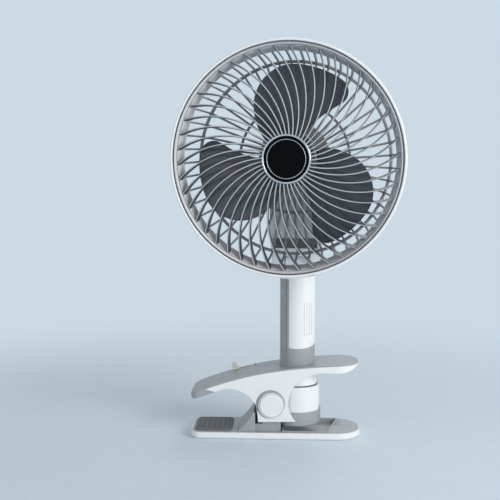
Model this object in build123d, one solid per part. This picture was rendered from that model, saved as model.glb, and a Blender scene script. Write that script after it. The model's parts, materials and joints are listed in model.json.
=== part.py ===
from build123d import *
import math
import os

# Battery clip fan: a caged fan head on an upright battery post, carried by a sprung table clamp.
# Millimetres. The origin is the point of the base's underside below the post's axis. +Z is up,
# +X runs from the jaws towards the squeeze handles, and -Y is the side that the fan blows to.
# The clamp stands open, as on a table top, and the head is turned a little on its swivel.

# ---- fits -----------------------------------------------------------------------------------
running_gap = 0.05           # radial clearance of a pin or shaft that turns in its bore
slip_gap = 0.15              # clearance of a cover or panel in its opening
moving_gap = 0.3             # space between faces that pass each other

# ---- clamp base -----------------------------------------------------------------------------
base_left = -104.0           # tip of the lower jaw
base_right = 61.8            # end of the lower handle
base_margin = 4.0            # base's long edge outside the jaw's
base_height = 7.0
base_wall = 2.2
base_floor = 2.2
base_lip = 1.2               # white lip left around the grey cover
base_cover_thickness = 2.4
base_tip_radius = 10.0       # plan corners of the jaw end
base_end_radius = 24.0       # plan corners of the handle end
base_end_rounding = 3.0      # lower edge of the shell
ramp_foot_x = -58.6          # the throat block rises from here
ramp_top_x = -42.4
ramp_top_z = 26.5
ramp_back_x = -40.9
ramp_bulge = 2.2             # how far the ramp's face dips below its chord
ramp_wall = 2.4
recess_left = -13.0          # opening in the cover that clears the barrel
recess_right_near = 30.0
recess_right_far = 39.5
recess_gap = 1.6             # barrel to the long sides of the opening
recess_lip_width = 1.6
recess_lip_height = 1.2
recess_floor_z = 3.3         # top of the pan under the barrel
foot_length = 34.0           # rubber feet set flush into the underside
foot_width = 8.0
foot_depth = 1.2
foot_inset = 7.5             # foot centre line to the base's long edge
base_pad_left = -100.0       # rubber grip of the lower jaw
base_pad_right = -64.0
base_pad_inset = 3.0         # long edges of the grip inside the jaw's width
base_pad_height = 1.6
pad_rib_count = 6
pad_rib_height = 0.6
screw_head_radius = 2.6
screw_head_height = 1.3
screw_shank_radius = 1.3
base_screw_x = (-86.0, -24.0, 50.0)
base_screw_y = 13.0

# ---- jaw hinge ------------------------------------------------------------------------------
pivot_x = -24.9
pivot_z = 33.2
pin_radius = 2.5
lug_radius = 9.0
lug_thickness = 3.0
lug_gap = 0.7                # cheek's inner face to the lug
lug_foot_right = -16.6       # low web that ties each lug to the throat block
lug_foot_z = 14.0
pivot_cap_radius = 11.5
pivot_cap_height = 1.9       # how far the cap stands out of the cheek's face
pivot_ring_radius = 12.75
pivot_ring_height = 1.0
pivot_well_radius = 14.2     # sunk round well that the cap sits in
pivot_well_depth = 1.3
pivot_well_shift = 1.1       # the well stands off the pin by this much, up and towards the tip
pivot_collar_sink = 0.35     # the grey crescent beside the cap lies this far below the cheek's face
spring_wire = 1.1
spring_mean_radius = 5.4
spring_turns = 3
spring_pitch = 1.6
spring_side_gap = 0.45       # coil to the lug beside it
spring_jaw_leg = 27.0
spring_base_leg = 25.0
spring_samples = 48          # points per turn when the coil's gap to itself is measured

# ---- upper jaw ------------------------------------------------------------------------------
jaw_tip_x = -104.0
jaw_tip_z = 44.0
jaw_crown_x = -62.0          # three points that the jaw's top arc passes through
jaw_crown_z = 58.9
jaw_post_x = -17.0
jaw_post_z = 68.5
jaw_end_x = 59.5
jaw_end_z = 74.2
jaw_tip_radius = 8.0
jaw_end_radius = 21.0
jaw_cover_thickness = 1.4
jaw_roof = 2.0               # white wall under the grey cover
jaw_floor = 2.0              # white wall over the mouth's arch
cheek_thickness = 2.7
lip_end_z = 71.4             # lower edge of the handle at its end
lip_mid_x = 50.0
lip_mid_z = 67.0
lip_x = 36.0
lip_z = 65.5
arch_x = -66.0               # centre of the mouth's round arch
arch_z = 20.0
arch_radius = 29.1
arch_start = 21.8            # degrees, at the throat
arch_end = 116.0
nose_under_x = -100.0        # underside of the jaw's nose
nose_under_z = 38.9
nose_round_x = -103.0
nose_round_z = 40.0
nose_split_low_x = -79.5     # the white body ends in a flat wedge above the grey nose
nose_split_low_z = 46.0
nose_split_rise = 0.247      # slope of the wedge's underside, towards the tip
cheek_left_x = -37.9
cheek_low_left_z = 16.6
cheek_low_right_x = -1.4
cheek_low_right_z = 17.4
scallop_x = -8.4             # concave rear edge of the cheek
scallop_z = 36.0
scallop_top_x = 4.0
scallop_top_z = 58.3
scallop_end_x = 21.5
jaw_pad_left = -87.0         # upper grip pad
jaw_pad_right = -65.0
jaw_pad_proud = 1.0
jaw_pad_sink = 0.8
jaw_pad_inset = 6.0
jaw_hollow_right = 20.0

# ---- speed slider ---------------------------------------------------------------------------
slider_x = -62.0             # middle of the knob at the off stop
slider_inset = 6.0           # knob's middle line to the jaw's long edge
slider_length = 6.6
slider_depth = 4.2
slider_height = 7.8
slider_lean = 1.7            # how much narrower the knob's top is
slider_neck = 2.4
slider_travel = 15.0
slider_bar_length = 8.0
slider_bar_thickness = 1.1
slider_slope = 15.0          # degrees, the jaw's slope under the slider
slider_stop_radius = 1.2     # small stop bead at the end of the slot
switch_length = 15.0
switch_width = 6.6
switch_height = 5.4
switch_x = -46.0
switch_floor_z = 49.6

# ---- post -----------------------------------------------------------------------------------
post_radius = 17.25
post_wall = 2.05
panel_middle = 37.5          # degrees from -Y towards +X, where the white panel faces
panel_half_angle = 67.0
panel_low_z = 92.0           # height of the panel's lower edge at the post's axis
panel_slope = 14.6           # degrees, the panel's lower edge is lowest in front
groove_count = 4
groove_step = 10.5           # degrees
groove_middle = 37.1
groove_width = 0.9
groove_depth = 0.5
groove_low_z = 100.7
groove_high_z = 132.7
seam_groove_angle = -38.5    # fine line down the grey shell beside the panel
cap_skirt_wall = 2.4
cap_plate = 2.5
post_screw_rise = 2.5        # above the lower end of the cap's skirt
post_screw_angles = (-60.4, -117.6)
cell_radius = 13.1
cell_length = 65.0
cell_low_z = 70.0
cell_holder_floor = 1.8
cell_button_radius = 4.5
cell_button_height = 1.2

# ---- barrel below the jaw -------------------------------------------------------------------
barrel_radius = 22.0
barrel_wall = 2.3
barrel_top_z = 50.2
barrel_split_z = 25.7
barrel_low_z = 11.5
barrel_floor = 2.4
barrel_washer_height = 0.9
barrel_washer_step = 2.0     # ring's edge inside the barrel's
socket_step = 0.6            # edge of the jaw's white collar inside the ring's
barrel_hole_radius = 11.0
barrel_spigot_height = 3.2
barrel_edge_radius = 1.6
tongue_width = 10.0
tongue_proud = 1.2
tongue_top_z = 28.0
board_thickness = 1.6
board_z = 35.0
port_width = 9.0
port_height = 3.3
port_depth = 7.4
port_rim = 0.8

# ---- swivel and tilt hinge ------------------------------------------------------------------
head_turn = 6.7              # degrees that the head is turned towards -X at rest
stem_radius = 9.0
stem_room = 4.3              # for the retainer and its screw, above the cell
stem_length = 17.7
stem_sleeve = 2.2            # wall of the bore that the stem turns in
flange_radius = 11.0
flange_height = 1.8
retainer_height = 1.6
hinge_rise = 10.4            # tilt axis above the post's top
knuckle_radius = 9.5
knuckle_half = 11.1
tilt_washer = 0.6
ear_outer = 23.8
tilt_pin_radius = 3.0
tilt_cap_radius = 8.0
tilt_cap_height = 1.4

# ---- fan head: radii about its axis, depths behind the front face --------------------------
face_distance = 91.0         # post axis to the plane of the rim's front
rim_rise = 8.8               # lowest point of the rim above the post's top
rim_radius = 105.7
rim_thickness = 3.6
rim_lip = 2.3                # thickness of the rim's front part, beside the groove
rim_groove_depth = 4.0
rim_depth = 17.0
cone_depth = 16.0
cone_reach = 5.95            # how far the band's inner lip lies inside its outer edge
cone_wall = 1.8
spoke_count = 46
spoke_width = 1.7
spoke_fin = 4.6              # depth of a spoke at the hub, and where it meets the band
spoke_fin_end = 9.0
spoke_inner_radius = 21.4
spoke_mid_shift = 2.2        # the spoke's middle point lies this far inside its ends' mean radius
spoke_bite = 3.0             # how far a spoke runs out over the band
spoke_mid_turn = 12.6        # degrees of sweep at the middle and at the outer end
spoke_end_turn = 28.8
spoke_end_angle = 3.0        # where the first spoke meets the band, from +X
spoke_front_hub = 1.0
spoke_front_mid = 1.5
spoke_front_end = 3.4
hub_radius = 22.0
hub_cup_wall = 1.7
hub_cup_depth = 9.0
hub_ring_proud = 0.7
hub_ring_depth = 3.0
hub_disc_gap = 0.1
hub_disc_sink = 0.3
hub_disc_thickness = 2.7
badge_radius = 17.35
badge_line = 0.5
badge_line_depth = 0.4

rear_ring_depth = 60.0
rear_ring_draw = 6.8         # outer ring's radius less than the flange's opening
rear_ring_width = 3.0
rear_plate_thickness = 3.0
rear_small_radius = 52.0
rear_small_width = 2.4
rear_plate_radius = 34.0
rear_rib_count = 48
rear_rib_width = 2.0
rear_rib_turn = 2.0          # degrees from plate to outer ring
wall_rib_turn = -0.6
wall_rib_depth = 3.2
collar_depth = 18.0          # front flange of the rear cage, behind the cone
collar_thickness = 3.6
collar_setback = 1.0         # flange's opening outside the band's inner lip
grille_screw_count = 4

# ---- motor and blades -----------------------------------------------------------------------
motor_radius = 18.0
motor_length = 24.0
motor_wall = 1.2
motor_boss_radius = 6.0
motor_screw_circle = 12.0
magnet_thickness = 2.6
armature_gap = 0.5
shaft_radius = 1.6
shaft_front_depth = 11.0
bush_radius = 4.0
bush_length = 3.0
blade_count = 3
blade_hub_radius = 26.0
blade_hub_front = 13.5
blade_hub_back = 33.5
blade_hub_wall = 1.8
blade_boss_radius = 5.0
blade_thickness = 1.7
blade_middle_depth = 22.5
blade_tip_gap = 11.0         # blade tips inside the band's inner lip
blade_lead_root = -31.0      # degrees from each blade's middle line
blade_lead_mid_inset = 33.0  # from the tip's radius
blade_lead_mid = -38.0
blade_lead_tip = -49.0
blade_trail_tip = 11.5
blade_trail_mid_inset = 32.0
blade_trail_mid = 36.0
blade_trail_root = 53.0
blade_lead_corner = 13.0
blade_trail_corner = 36.0
blade_root_slope = 0.36      # rise across the blade per mm of breadth, at the root
blade_tip_slope = 0.16
first_blade_angle = 90.0
nut_radius = 5.2
nut_height = 3.0

# ---- neck arm behind the cage --------------------------------------------------------------
arm_head_radius = 33.0
arm_wall = 2.4
arm_back_top = -8.0          # depth of the arm's back at its top
arm_foot_rise = 33.0         # height above the hinge where the arm reaches full depth
arm_hollow_rise = 18.0       # height above the hinge where the arm becomes hollow
arm_cover_thickness = 2.0
vent_count = 5
vent_width = 2.4
vent_length = 26.0
vent_step = 7.0

# ---- worked out from the sizes above -------------------------------------------------------
jaw_width = 2 * (barrel_radius + moving_gap + cheek_thickness)
base_width = jaw_width + 2 * base_margin
ramp_width = jaw_width
base_pad_width = jaw_width - 2 * base_pad_inset
jaw_pad_width = jaw_width - 2 * jaw_pad_inset
recess_half_width = barrel_radius + recess_gap
slider_y = jaw_width / 2 - slider_inset
lug_outer_y = jaw_width / 2 - cheek_thickness - lug_gap
spring_inner_y = (lug_outer_y - lug_thickness - spring_side_gap - spring_wire / 2
                  - spring_pitch * spring_turns)
barrel_washer_radius = barrel_radius - barrel_washer_step
jaw_socket_radius = barrel_washer_radius - socket_step
post_bore = post_radius - post_wall
stem_low_z = cell_low_z + cell_length + cell_button_height + stem_room
post_top_z = stem_low_z + stem_length
cap_skirt_height = post_top_z - cap_plate - stem_low_z
post_screw_z = stem_low_z + post_screw_rise
hinge_z = post_top_z + hinge_rise
head_z = post_top_z + rim_rise + rim_radius
cone_outer_radius = rim_radius - rim_thickness - slip_gap
cone_inner_radius = cone_outer_radius - cone_reach
spoke_outer_radius = cone_inner_radius + spoke_bite
spoke_mid_radius = (spoke_inner_radius + spoke_outer_radius) / 2 - spoke_mid_shift
collar_inner_radius = cone_inner_radius + collar_setback
rear_ring_radius = collar_inner_radius - rear_ring_draw
blade_tip_radius = cone_inner_radius - blade_tip_gap
blade_lead_mid_radius = blade_tip_radius - blade_lead_mid_inset
blade_trail_mid_radius = blade_tip_radius - blade_trail_mid_inset
head_frame = Rot(0, 0, -head_turn) * Plane(
    origin=(0, -face_distance, head_z), x_dir=(1, 0, 0), z_dir=(0, -1, 0)).location
neck_frame = Rot(0, 0, -head_turn)
arm_front = rear_ring_depth + rear_plate_thickness - face_distance
board_radius = barrel_radius - barrel_wall - slip_gap
retainer_radius = stem_radius + stem_sleeve


# ---- shared shapes --------------------------------------------------------------------------
def disc(radius, low, high, x=0.0, y=0.0):
    """Upright cylinder between two heights."""
    return Pos(x, y, low) * Cylinder(radius, high - low, align=(Align.CENTER, Align.CENTER, Align.MIN))


def ring(outer, inner, low, high, x=0.0, y=0.0):
    """Upright tube between two heights."""
    return disc(outer, low, high, x, y) - disc(inner, low, high, x, y)


def block(x_low, x_high, y_low, y_high, z_low, z_high):
    """Box given by its lowest and highest corner."""
    middle = Pos((x_low + x_high) / 2, (y_low + y_high) / 2, (z_low + z_high) / 2)
    return middle * Box(x_high - x_low, y_high - y_low, z_high - z_low)


def outline(*edges):
    """Flat face inside a closed chain of edges."""
    return make_face(Curve() + list(edges))


def side_plate(face, width):
    """A side outline drawn in X and Z, spread evenly about the plane Y = 0."""
    return extrude(Plane.XZ * face, width / 2, both=True)


def side_disc(radius, x, z, y_low, y_high):
    """Cylinder along Y between two values of Y."""
    return Pos(x, y_high, z) * Rot(90, 0, 0) * disc(radius, 0, y_high - y_low)


def plan_prism(x_low, x_high, width, tip_radius, end_radius, low, high):
    """Upright prism of a long plate, with its own corner radius at each end."""
    face = Pos((x_low + x_high) / 2, 0) * Rectangle(x_high - x_low, width)
    face = fillet(face.vertices().group_by(Axis.X)[0], tip_radius)
    face = fillet(face.vertices().group_by(Axis.X)[-1], end_radius)
    return Pos(0, 0, low) * extrude(face, high - low)


def polar(radius, degrees):
    """Point of a plan at a radius and an angle."""
    angle = math.radians(degrees)
    return (radius * math.cos(angle), radius * math.sin(angle))


def around(shape, count, phase=0.0):
    """Copies of a shape spaced evenly about the Z axis."""
    return [Rot(0, 0, phase + step * 360 / count) * shape for step in range(count)]


def pieces(shapes):
    """Several separate solids that share one node."""
    return Compound([solid for shape in shapes for solid in shape.solids()])


def screw(length):
    """Pan head at the origin with its shank running down -Z."""
    head = disc(screw_head_radius, 0, screw_head_height)
    slot = Pos(0, 0, screw_head_height) * Box(screw_head_radius * 1.2, screw_shank_radius / 2, screw_head_height)
    cross = Rot(0, 0, 90) * slot
    return head - slot - cross + disc(screw_shank_radius, -length, 0)


# ---- clamp base -----------------------------------------------------------------------------
def base_plan(inset, low, high):
    """Plan of the base, drawn in by an inset."""
    return plan_prism(base_left + inset, base_right - inset, base_width - 2 * inset,
                      base_tip_radius - inset, base_end_radius - inset, low, high)


def foot_places():
    """Middle points of the rubber feet."""
    reach_left = base_left + base_tip_radius + foot_length / 2
    reach_right = base_right - base_end_radius - foot_length / 2 + foot_width
    side = base_width / 2 - foot_inset
    return [(x, y) for x in (reach_left, reach_right) for y in (-side, side)]


def foot(extra):
    """Rubber foot with rounded ends, or the pocket that it sits in."""
    face = SlotOverall(foot_length + 2 * extra, foot_width + 2 * extra)
    return extrude(face, foot_depth)


def base_screw_places():
    """Middle points of the screws that hold the base's cover from below."""
    return [(x, y) for x in base_screw_x for y in (-base_screw_y, base_screw_y)]


def base_shell():
    """White tray: floor, outer wall, a seat for the cover, and pockets for feet and screws."""
    tray = base_plan(0, 0, base_height)
    tray = fillet(tray.faces().sort_by(Axis.Z)[0].outer_wire().edges(), base_end_rounding)
    seat = base_height - base_cover_thickness
    tray -= base_plan(base_lip, seat, base_height)
    tray -= base_plan(base_wall + base_lip, base_floor, seat)
    for x, y in base_screw_places():
        tray += disc(screw_head_radius + base_wall, base_floor, seat, x, y)
        tray -= disc(screw_head_radius + slip_gap, 0, screw_head_height + slip_gap, x, y)
        tray -= disc(screw_shank_radius + slip_gap, 0, seat, x, y)
    for x, y in foot_places():
        tray -= Pos(x, y) * foot(0)
    return tray


def base_feet():
    """Rubber feet, flush with the underside."""
    return pieces(Pos(x, y) * foot(0) for x, y in foot_places())


def base_screws():
    """Screws up through the tray into the cover."""
    up = Rot(180, 0, 0) * screw(base_height - base_cover_thickness / 2 - screw_head_height - slip_gap)
    lift = screw_head_height + slip_gap
    return pieces(Pos(x, y, lift) * up for x, y in base_screw_places())


def ramp_arc(foot_point, top_point):
    """Hollow arc of the throat block between two points."""
    middle = ((foot_point[0] + top_point[0]) / 2, (foot_point[1] + top_point[1]) / 2 - ramp_bulge)
    return ThreePointArc(foot_point, middle, top_point)


def ramp_side(low):
    """Side outline of the throat block."""
    foot_point = (ramp_foot_x, base_height)
    top_point = (ramp_top_x, ramp_top_z)
    back_point = (ramp_back_x, ramp_top_z - 0.8 * ramp_bulge)
    return outline(
        ramp_arc(foot_point, top_point),
        Line(top_point, back_point),
        Line(back_point, (ramp_back_x, low)),
        Line((ramp_back_x, low), (ramp_foot_x, low)),
        Line((ramp_foot_x, low), foot_point))


def ramp_room(low):
    """Side outline of the throat block's hollow, a wall inside its face and its back."""
    foot_point = (ramp_foot_x + ramp_wall, base_height - ramp_wall)
    back = ramp_back_x - ramp_wall
    top_point = (back, ramp_top_z - 3 * ramp_wall)
    return outline(
        ramp_arc(foot_point, top_point),
        Line(top_point, (back, low)),
        Line((back, low), (ramp_foot_x + ramp_wall, low)),
        Line((ramp_foot_x + ramp_wall, low), foot_point))


def recess(extra, low, high):
    """Four-sided opening for the barrel, slanted at its handle end."""
    side = recess_half_width + extra
    left = recess_left - extra
    corners = [(left, -side), (recess_right_near + extra, -side), (recess_right_far + extra, side), (left, side)]
    return Pos(0, 0, low) * extrude(make_face(Polyline(*corners, close=True)), high - low)


def lug(y_middle):
    """Upright lug of the jaw hinge with the web at its foot."""
    low = base_height - base_cover_thickness
    near = y_middle - lug_thickness / 2
    far = y_middle + lug_thickness / 2
    upright = block(pivot_x - lug_radius, pivot_x + lug_radius, near, far, low, pivot_z)
    eye = side_disc(lug_radius, pivot_x, pivot_z, near, far)
    web = block(ramp_back_x - ramp_wall / 2, lug_foot_right, near, far, low, lug_foot_z)
    return upright + eye + web


def base_cover():
    """Grey cover of the base with the throat block, the hinge lugs and the barrel's sunk pan."""
    seat = base_height - base_cover_thickness
    cover = base_plan(base_lip + slip_gap, seat, base_height)
    cover += side_plate(ramp_side(seat), ramp_width)
    cover -= side_plate(ramp_room(base_floor), ramp_width - 2 * ramp_wall)
    cover += recess(recess_lip_width, base_floor + slip_gap, base_height + recess_lip_height)
    cover -= recess(0, recess_floor_z, base_height + recess_lip_height)
    middle = lug_outer_y - lug_thickness / 2
    cover += lug(middle) + lug(-middle)
    cover -= side_disc(pin_radius + running_gap, pivot_x, pivot_z, -base_width, base_width)
    for x, y in base_screw_places():
        cover -= disc(screw_shank_radius, seat, base_height - base_cover_thickness / 2, x, y)
    return cover


def base_grip_pad():
    """Rubber grip of the lower jaw with cross ribs."""
    pad = plan_prism(base_pad_left, base_pad_right, base_pad_width, base_tip_radius / 2, base_tip_radius / 2,
                     base_height, base_height + base_pad_height)
    step = (base_pad_right - base_pad_left) / (pad_rib_count + 1)
    top = base_height + base_pad_height
    for index in range(pad_rib_count):
        x = base_pad_left + (index + 1) * step
        half = base_pad_width / 2 - base_tip_radius / 2
        pad += block(x - step / 4, x + step / 4, -half, half, top, top + pad_rib_height)
    return pad


# ---- upper jaw ------------------------------------------------------------------------------
def jaw_top(drop):
    """The jaw's long top curve: a round arc over the mouth that runs on into a flatter one."""
    first = ThreePointArc((jaw_tip_x, jaw_tip_z - drop), (jaw_crown_x, jaw_crown_z - drop),
                          (jaw_post_x, jaw_post_z - drop))
    second = TangentArc((jaw_post_x, jaw_post_z - drop), (jaw_end_x, jaw_end_z - drop), tangent=first % 1)
    return first, second


def arch_point(degrees, radius):
    """Point of the mouth's arch."""
    x, z = polar(radius, degrees)
    return (arch_x + x, arch_z + z)


def jaw_side():
    """Side outline of the whole upper jaw."""
    first, second = jaw_top(0)
    throat = arch_point(arch_start, arch_radius)
    arch_out = arch_point(arch_end, arch_radius)
    scallop = ThreePointArc((cheek_low_right_x, cheek_low_right_z), (scallop_x, scallop_z),
                            (scallop_top_x, scallop_top_z))
    blend = TangentArc((scallop_top_x, scallop_top_z), (scallop_end_x, lip_z), tangent=scallop % 1)
    return outline(
        first, second,
        Line((jaw_end_x, jaw_end_z), (jaw_end_x, lip_end_z)),
        ThreePointArc((jaw_end_x, lip_end_z), (lip_mid_x, lip_mid_z), (lip_x, lip_z)),
        Line((lip_x, lip_z), (scallop_end_x, lip_z)),
        blend, scallop,
        Line((cheek_low_right_x, cheek_low_right_z), (cheek_left_x, cheek_low_left_z)),
        Line((cheek_left_x, cheek_low_left_z), throat),
        CenterArc((arch_x, arch_z), arch_radius, arch_start, arch_end - arch_start),
        Line(arch_out, (nose_under_x, nose_under_z)),
        ThreePointArc((nose_under_x, nose_under_z), (nose_round_x, nose_round_z), (jaw_tip_x, jaw_tip_z)))


def jaw_blank():
    """The whole upper jaw as one block: its side outline within its plan."""
    plan = plan_prism(jaw_tip_x, jaw_end_x, jaw_width, jaw_tip_radius, jaw_end_radius, 0, jaw_end_z * 2)
    return side_plate(jaw_side(), jaw_width) & plan


def under_cover(drop):
    """Everything below the jaw's top curve lowered by a drop, as a cutter."""
    first, second = jaw_top(drop)
    low = -base_height
    face = outline(first, second,
                   Line((jaw_end_x, jaw_end_z - drop), (jaw_end_x, low)),
                   Line((jaw_end_x, low), (jaw_tip_x, low)),
                   Line((jaw_tip_x, low), (jaw_tip_x, jaw_tip_z - drop)))
    return side_plate(face, base_width)


def nose_cutter():
    """Everything on the tip's side of the joint between nose and body, below the body's wedge."""
    far = jaw_tip_x * 2
    high = nose_split_low_z + nose_split_rise * (nose_split_low_x - far)
    face = make_face(Polyline((far, 0), (nose_split_low_x, 0), (nose_split_low_x, nose_split_low_z),
                              (far, high), close=True))
    return side_plate(face, base_width)


def jaw_hollow():
    """Inside of the jaw: between the cheeks, open below, behind the arch's wall."""
    inner = arch_radius + jaw_floor
    start = arch_point(arch_start, inner)
    stop = arch_point(95, inner)
    face = outline(
        CenterArc((arch_x, arch_z), inner, arch_start, 95 - arch_start),
        Line(stop, (stop[0], jaw_end_z)),
        Line((stop[0], jaw_end_z), (jaw_hollow_right, jaw_end_z)),
        Line((jaw_hollow_right, jaw_end_z), (jaw_hollow_right, 0)),
        Line((jaw_hollow_right, 0), (cheek_left_x - cheek_thickness, 0)),
        Line((cheek_left_x - cheek_thickness, 0), (cheek_left_x - cheek_thickness, start[1])),
        Line((cheek_left_x - cheek_thickness, start[1]), start))
    room = side_plate(face, jaw_width - 2 * cheek_thickness)
    return room & under_cover(jaw_cover_thickness + jaw_roof)


def slider_base():
    """Frame on the jaw's top at the slider, sloped with the jaw."""
    top = jaw_top(0)[0]
    share = min(range(101), key=lambda s: abs((top @ (s / 100)).X - slider_x)) / 100
    return Pos(slider_x, slider_y, (top @ share).Y) * Rot(0, -slider_slope, 0)


def slider_slot(extra):
    """Slot that the slider's neck runs in."""
    half = slider_neck / 2 + extra
    low = -(jaw_cover_thickness + jaw_roof) * 2
    return slider_base() * block(-half, slider_travel + half, -half, half, low, jaw_cover_thickness)


def switch_box(low, high):
    """Upright block on the plan of the speed switch."""
    middle = slider_y - slider_neck / 2
    return block(switch_x - switch_length / 2, switch_x + switch_length / 2,
                 middle - switch_width / 2, middle + switch_width / 2, low, high)


def jaw_shell():
    """White body of the jaw: cheeks, walls and the socket that the post stands in."""
    body = jaw_blank() & under_cover(jaw_cover_thickness)
    body -= nose_cutter()
    body -= jaw_hollow()
    mouth = side_disc(arch_radius + jaw_floor / 2, arch_x, arch_z, -jaw_width, jaw_width)
    body += switch_box(arch_z + arch_radius / 2, switch_floor_z) - mouth
    socket = disc(jaw_socket_radius, barrel_top_z + barrel_washer_height, jaw_post_z)
    body += socket & under_cover(jaw_cover_thickness)
    body -= disc(post_bore, barrel_top_z, jaw_end_z)
    for side in (-1, 1):
        outer = side * jaw_width / 2
        inner = side * (jaw_width / 2 - pivot_well_depth)
        body -= side_disc(pivot_well_radius, pivot_x - pivot_well_shift, pivot_z + pivot_well_shift,
                          min(inner, outer), max(inner, outer))
    body -= side_disc(pin_radius, pivot_x, pivot_z, -jaw_width, jaw_width)
    body -= slider_slot(slip_gap)
    body -= jaw_pad(slip_gap)
    return body


def jaw_cover():
    """Grey top skin of the jaw together with its solid nose."""
    blank = jaw_blank()
    skin = blank - under_cover(jaw_cover_thickness)
    cover = skin + (blank & nose_cutter())
    cover -= disc(post_radius + slip_gap, 0, jaw_end_z * 2)
    cover -= slider_slot(slip_gap)
    cover -= jaw_pad(slip_gap)
    reach = slider_travel + slider_length / 2 + slider_stop_radius + moving_gap
    bead = slider_base() * Pos(reach, slider_depth / 2, 0)
    cover += bead * Cylinder(slider_stop_radius, jaw_cover_thickness)
    return cover


def jaw_pad(extra):
    """Rubber grip under the jaw: a strip that follows the jaw's lower side."""
    jaw = side_plate(jaw_side(), jaw_width)
    half = jaw_pad_width / 2 + extra
    strip = block(jaw_pad_left - extra, jaw_pad_right + extra, -half, half, arch_z, jaw_crown_z - jaw_cover_thickness)
    strip &= Pos(0, 0, -jaw_pad_proud) * jaw
    return strip - Pos(0, 0, jaw_pad_sink + extra) * jaw


def pivot_pin():
    """Steel pin of the jaw hinge, held in the cheeks."""
    half = jaw_width / 2 - pivot_well_depth
    return side_disc(pin_radius, pivot_x, pivot_z, -half, half)


def pivot_cap(side):
    """Round cap with a lower ring around it, over one end of the pin."""
    floor = jaw_width / 2 - pivot_well_depth
    face = jaw_width / 2
    cap = disc(pivot_cap_radius, floor, face + pivot_cap_height)
    cap = fillet(cap.edges().sort_by(Axis.Z)[-1], pivot_cap_height / 2)
    cap += disc(pivot_ring_radius, floor, face + pivot_ring_height)
    cap -= ring(pivot_cap_radius + badge_line, pivot_cap_radius, face, face + pivot_ring_height)
    return Pos(pivot_x, 0, pivot_z) * Rot(-90 * side, 0, 0) * cap


def pivot_collar(side):
    """Grey crescent that fills the well around the cap's ring."""
    floor = jaw_width / 2 - pivot_well_depth
    face = jaw_width / 2 - pivot_collar_sink
    collar = disc(pivot_well_radius - slip_gap, floor, face, -pivot_well_shift, -side * pivot_well_shift)
    collar -= disc(pivot_ring_radius + slip_gap, floor, face)
    return Pos(pivot_x, 0, pivot_z) * Rot(-90 * side, 0, 0) * collar


def biarc(start, start_way, end, end_way):
    """Two tangent arcs that leave the start and reach the end along given directions."""
    chord = end - start
    ways = start_way + end_way
    across = chord.dot(ways)
    narrow = ways.dot(ways) - 4
    reach = (across - math.sqrt(across * across - narrow * chord.dot(chord))) / narrow
    joint = (start + end + (start_way - end_way) * reach) * 0.5
    joint_way = (end - end_way * reach) - (start + start_way * reach)
    return [TangentArc(start, joint, tangent=start_way), TangentArc(joint, end, tangent=joint_way)]


def spring_point(turn):
    """Point of the coil's centre line after a number of turns, and its direction."""
    angle = 2 * math.pi * turn
    point = Vector(-spring_mean_radius * math.cos(angle), spring_mean_radius * math.sin(angle), spring_pitch * turn)
    way = Vector(math.sin(angle), math.cos(angle), spring_pitch / (2 * math.pi * spring_mean_radius))
    return point, way.normalized()


def torsion_spring(side):
    """Coil about the pivot with one leg up against the jaw and one down against the base."""
    edges = []
    for quarter in range(4 * spring_turns):
        start, start_way = spring_point(quarter / 4)
        end, end_way = spring_point((quarter + 1) / 4)
        edges += biarc(start, start_way, end, end_way)
    first, first_way = spring_point(0)
    last, last_way = spring_point(spring_turns)
    low_end = first - first_way * spring_base_leg
    edges = [Line(low_end, first)] + edges + [Line(last, last + last_way * spring_jaw_leg)]
    wire = Plane(origin=low_end, z_dir=first_way) * Circle(spring_wire / 2)
    coil = sweep(wire, path=Wire(edges))
    lay = Rot(90, 0, 0) * (coil if side < 0 else mirror(coil, about=Plane.XY))
    return Pos(pivot_x, side * spring_inner_y, pivot_z) * lay


def spring_gap():
    """Least distance between the surfaces of neighbouring turns, measured on points of the coil."""
    points = [spring_point(step / spring_samples)[0] for step in range(spring_turns * spring_samples + 1)]
    apart = spring_samples // 2
    least = min((first - second).length
                for index, first in enumerate(points) for second in points[index + apart:])
    return least - spring_wire


# ---- speed slider ---------------------------------------------------------------------------
def slider_knob():
    """Ivory knob with its neck and the bar that works the switch."""
    half = slider_length / 2
    face = make_face(Polyline((-half, moving_gap), (half, moving_gap), (half - slider_lean, slider_height),
                              (-half + slider_lean / 2, slider_height), close=True))
    knob = side_plate(face, slider_depth)
    knob = fillet(knob.edges().filter_by(Axis.Y).group_by(Axis.Z)[-1], slider_lean / 2)
    depth = jaw_cover_thickness + jaw_roof + 2 * moving_gap
    neck = block(-slider_neck / 2, slider_neck / 2, -slider_neck / 2, slider_neck / 2, -depth, half)
    bar = block(-slider_bar_length / 2, slider_bar_length / 2, -slider_neck, slider_neck / 2,
                -depth - slider_bar_thickness, -depth)
    return slider_base() * (knob + neck + bar)


def speed_switch():
    """Slide switch inside the jaw, under the slider's bar."""
    return switch_box(switch_floor_z, switch_floor_z + switch_height)


# ---- post -----------------------------------------------------------------------------------
def panel_region(extra):
    """Sector above the slanted seam that belongs to the white panel."""
    reach = post_radius * 2
    middle = panel_middle - 90
    half = panel_half_angle - math.degrees(extra / post_radius)
    start = polar(reach, middle - half)
    stop = polar(reach, middle + half)
    crest = polar(reach, middle)
    face = outline(Line((0, 0), start), ThreePointArc(start, crest, stop), Line(stop, (0, 0)))
    sector = extrude(face, post_top_z * 2)
    lean = Pos(0, 0, panel_low_z + extra) * Rot(panel_slope, 0, 0)
    below = lean * block(-reach, reach, -reach, reach, -post_top_z, 0)
    return sector - below


def post_tube():
    """The post's wall from the jaw's body up to its cap."""
    tube = ring(post_radius, post_bore, jaw_post_z / 2, post_top_z - cap_plate)
    return tube - under_cover(jaw_cover_thickness)


def post_screw_at(angle, shape):
    """Lay a shape drawn along +Z so that it points out of the post at an angle."""
    return Rot(0, 0, angle - 90) * Pos(post_radius, 0, post_screw_z) * Rot(0, 90, 0) * shape


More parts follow.
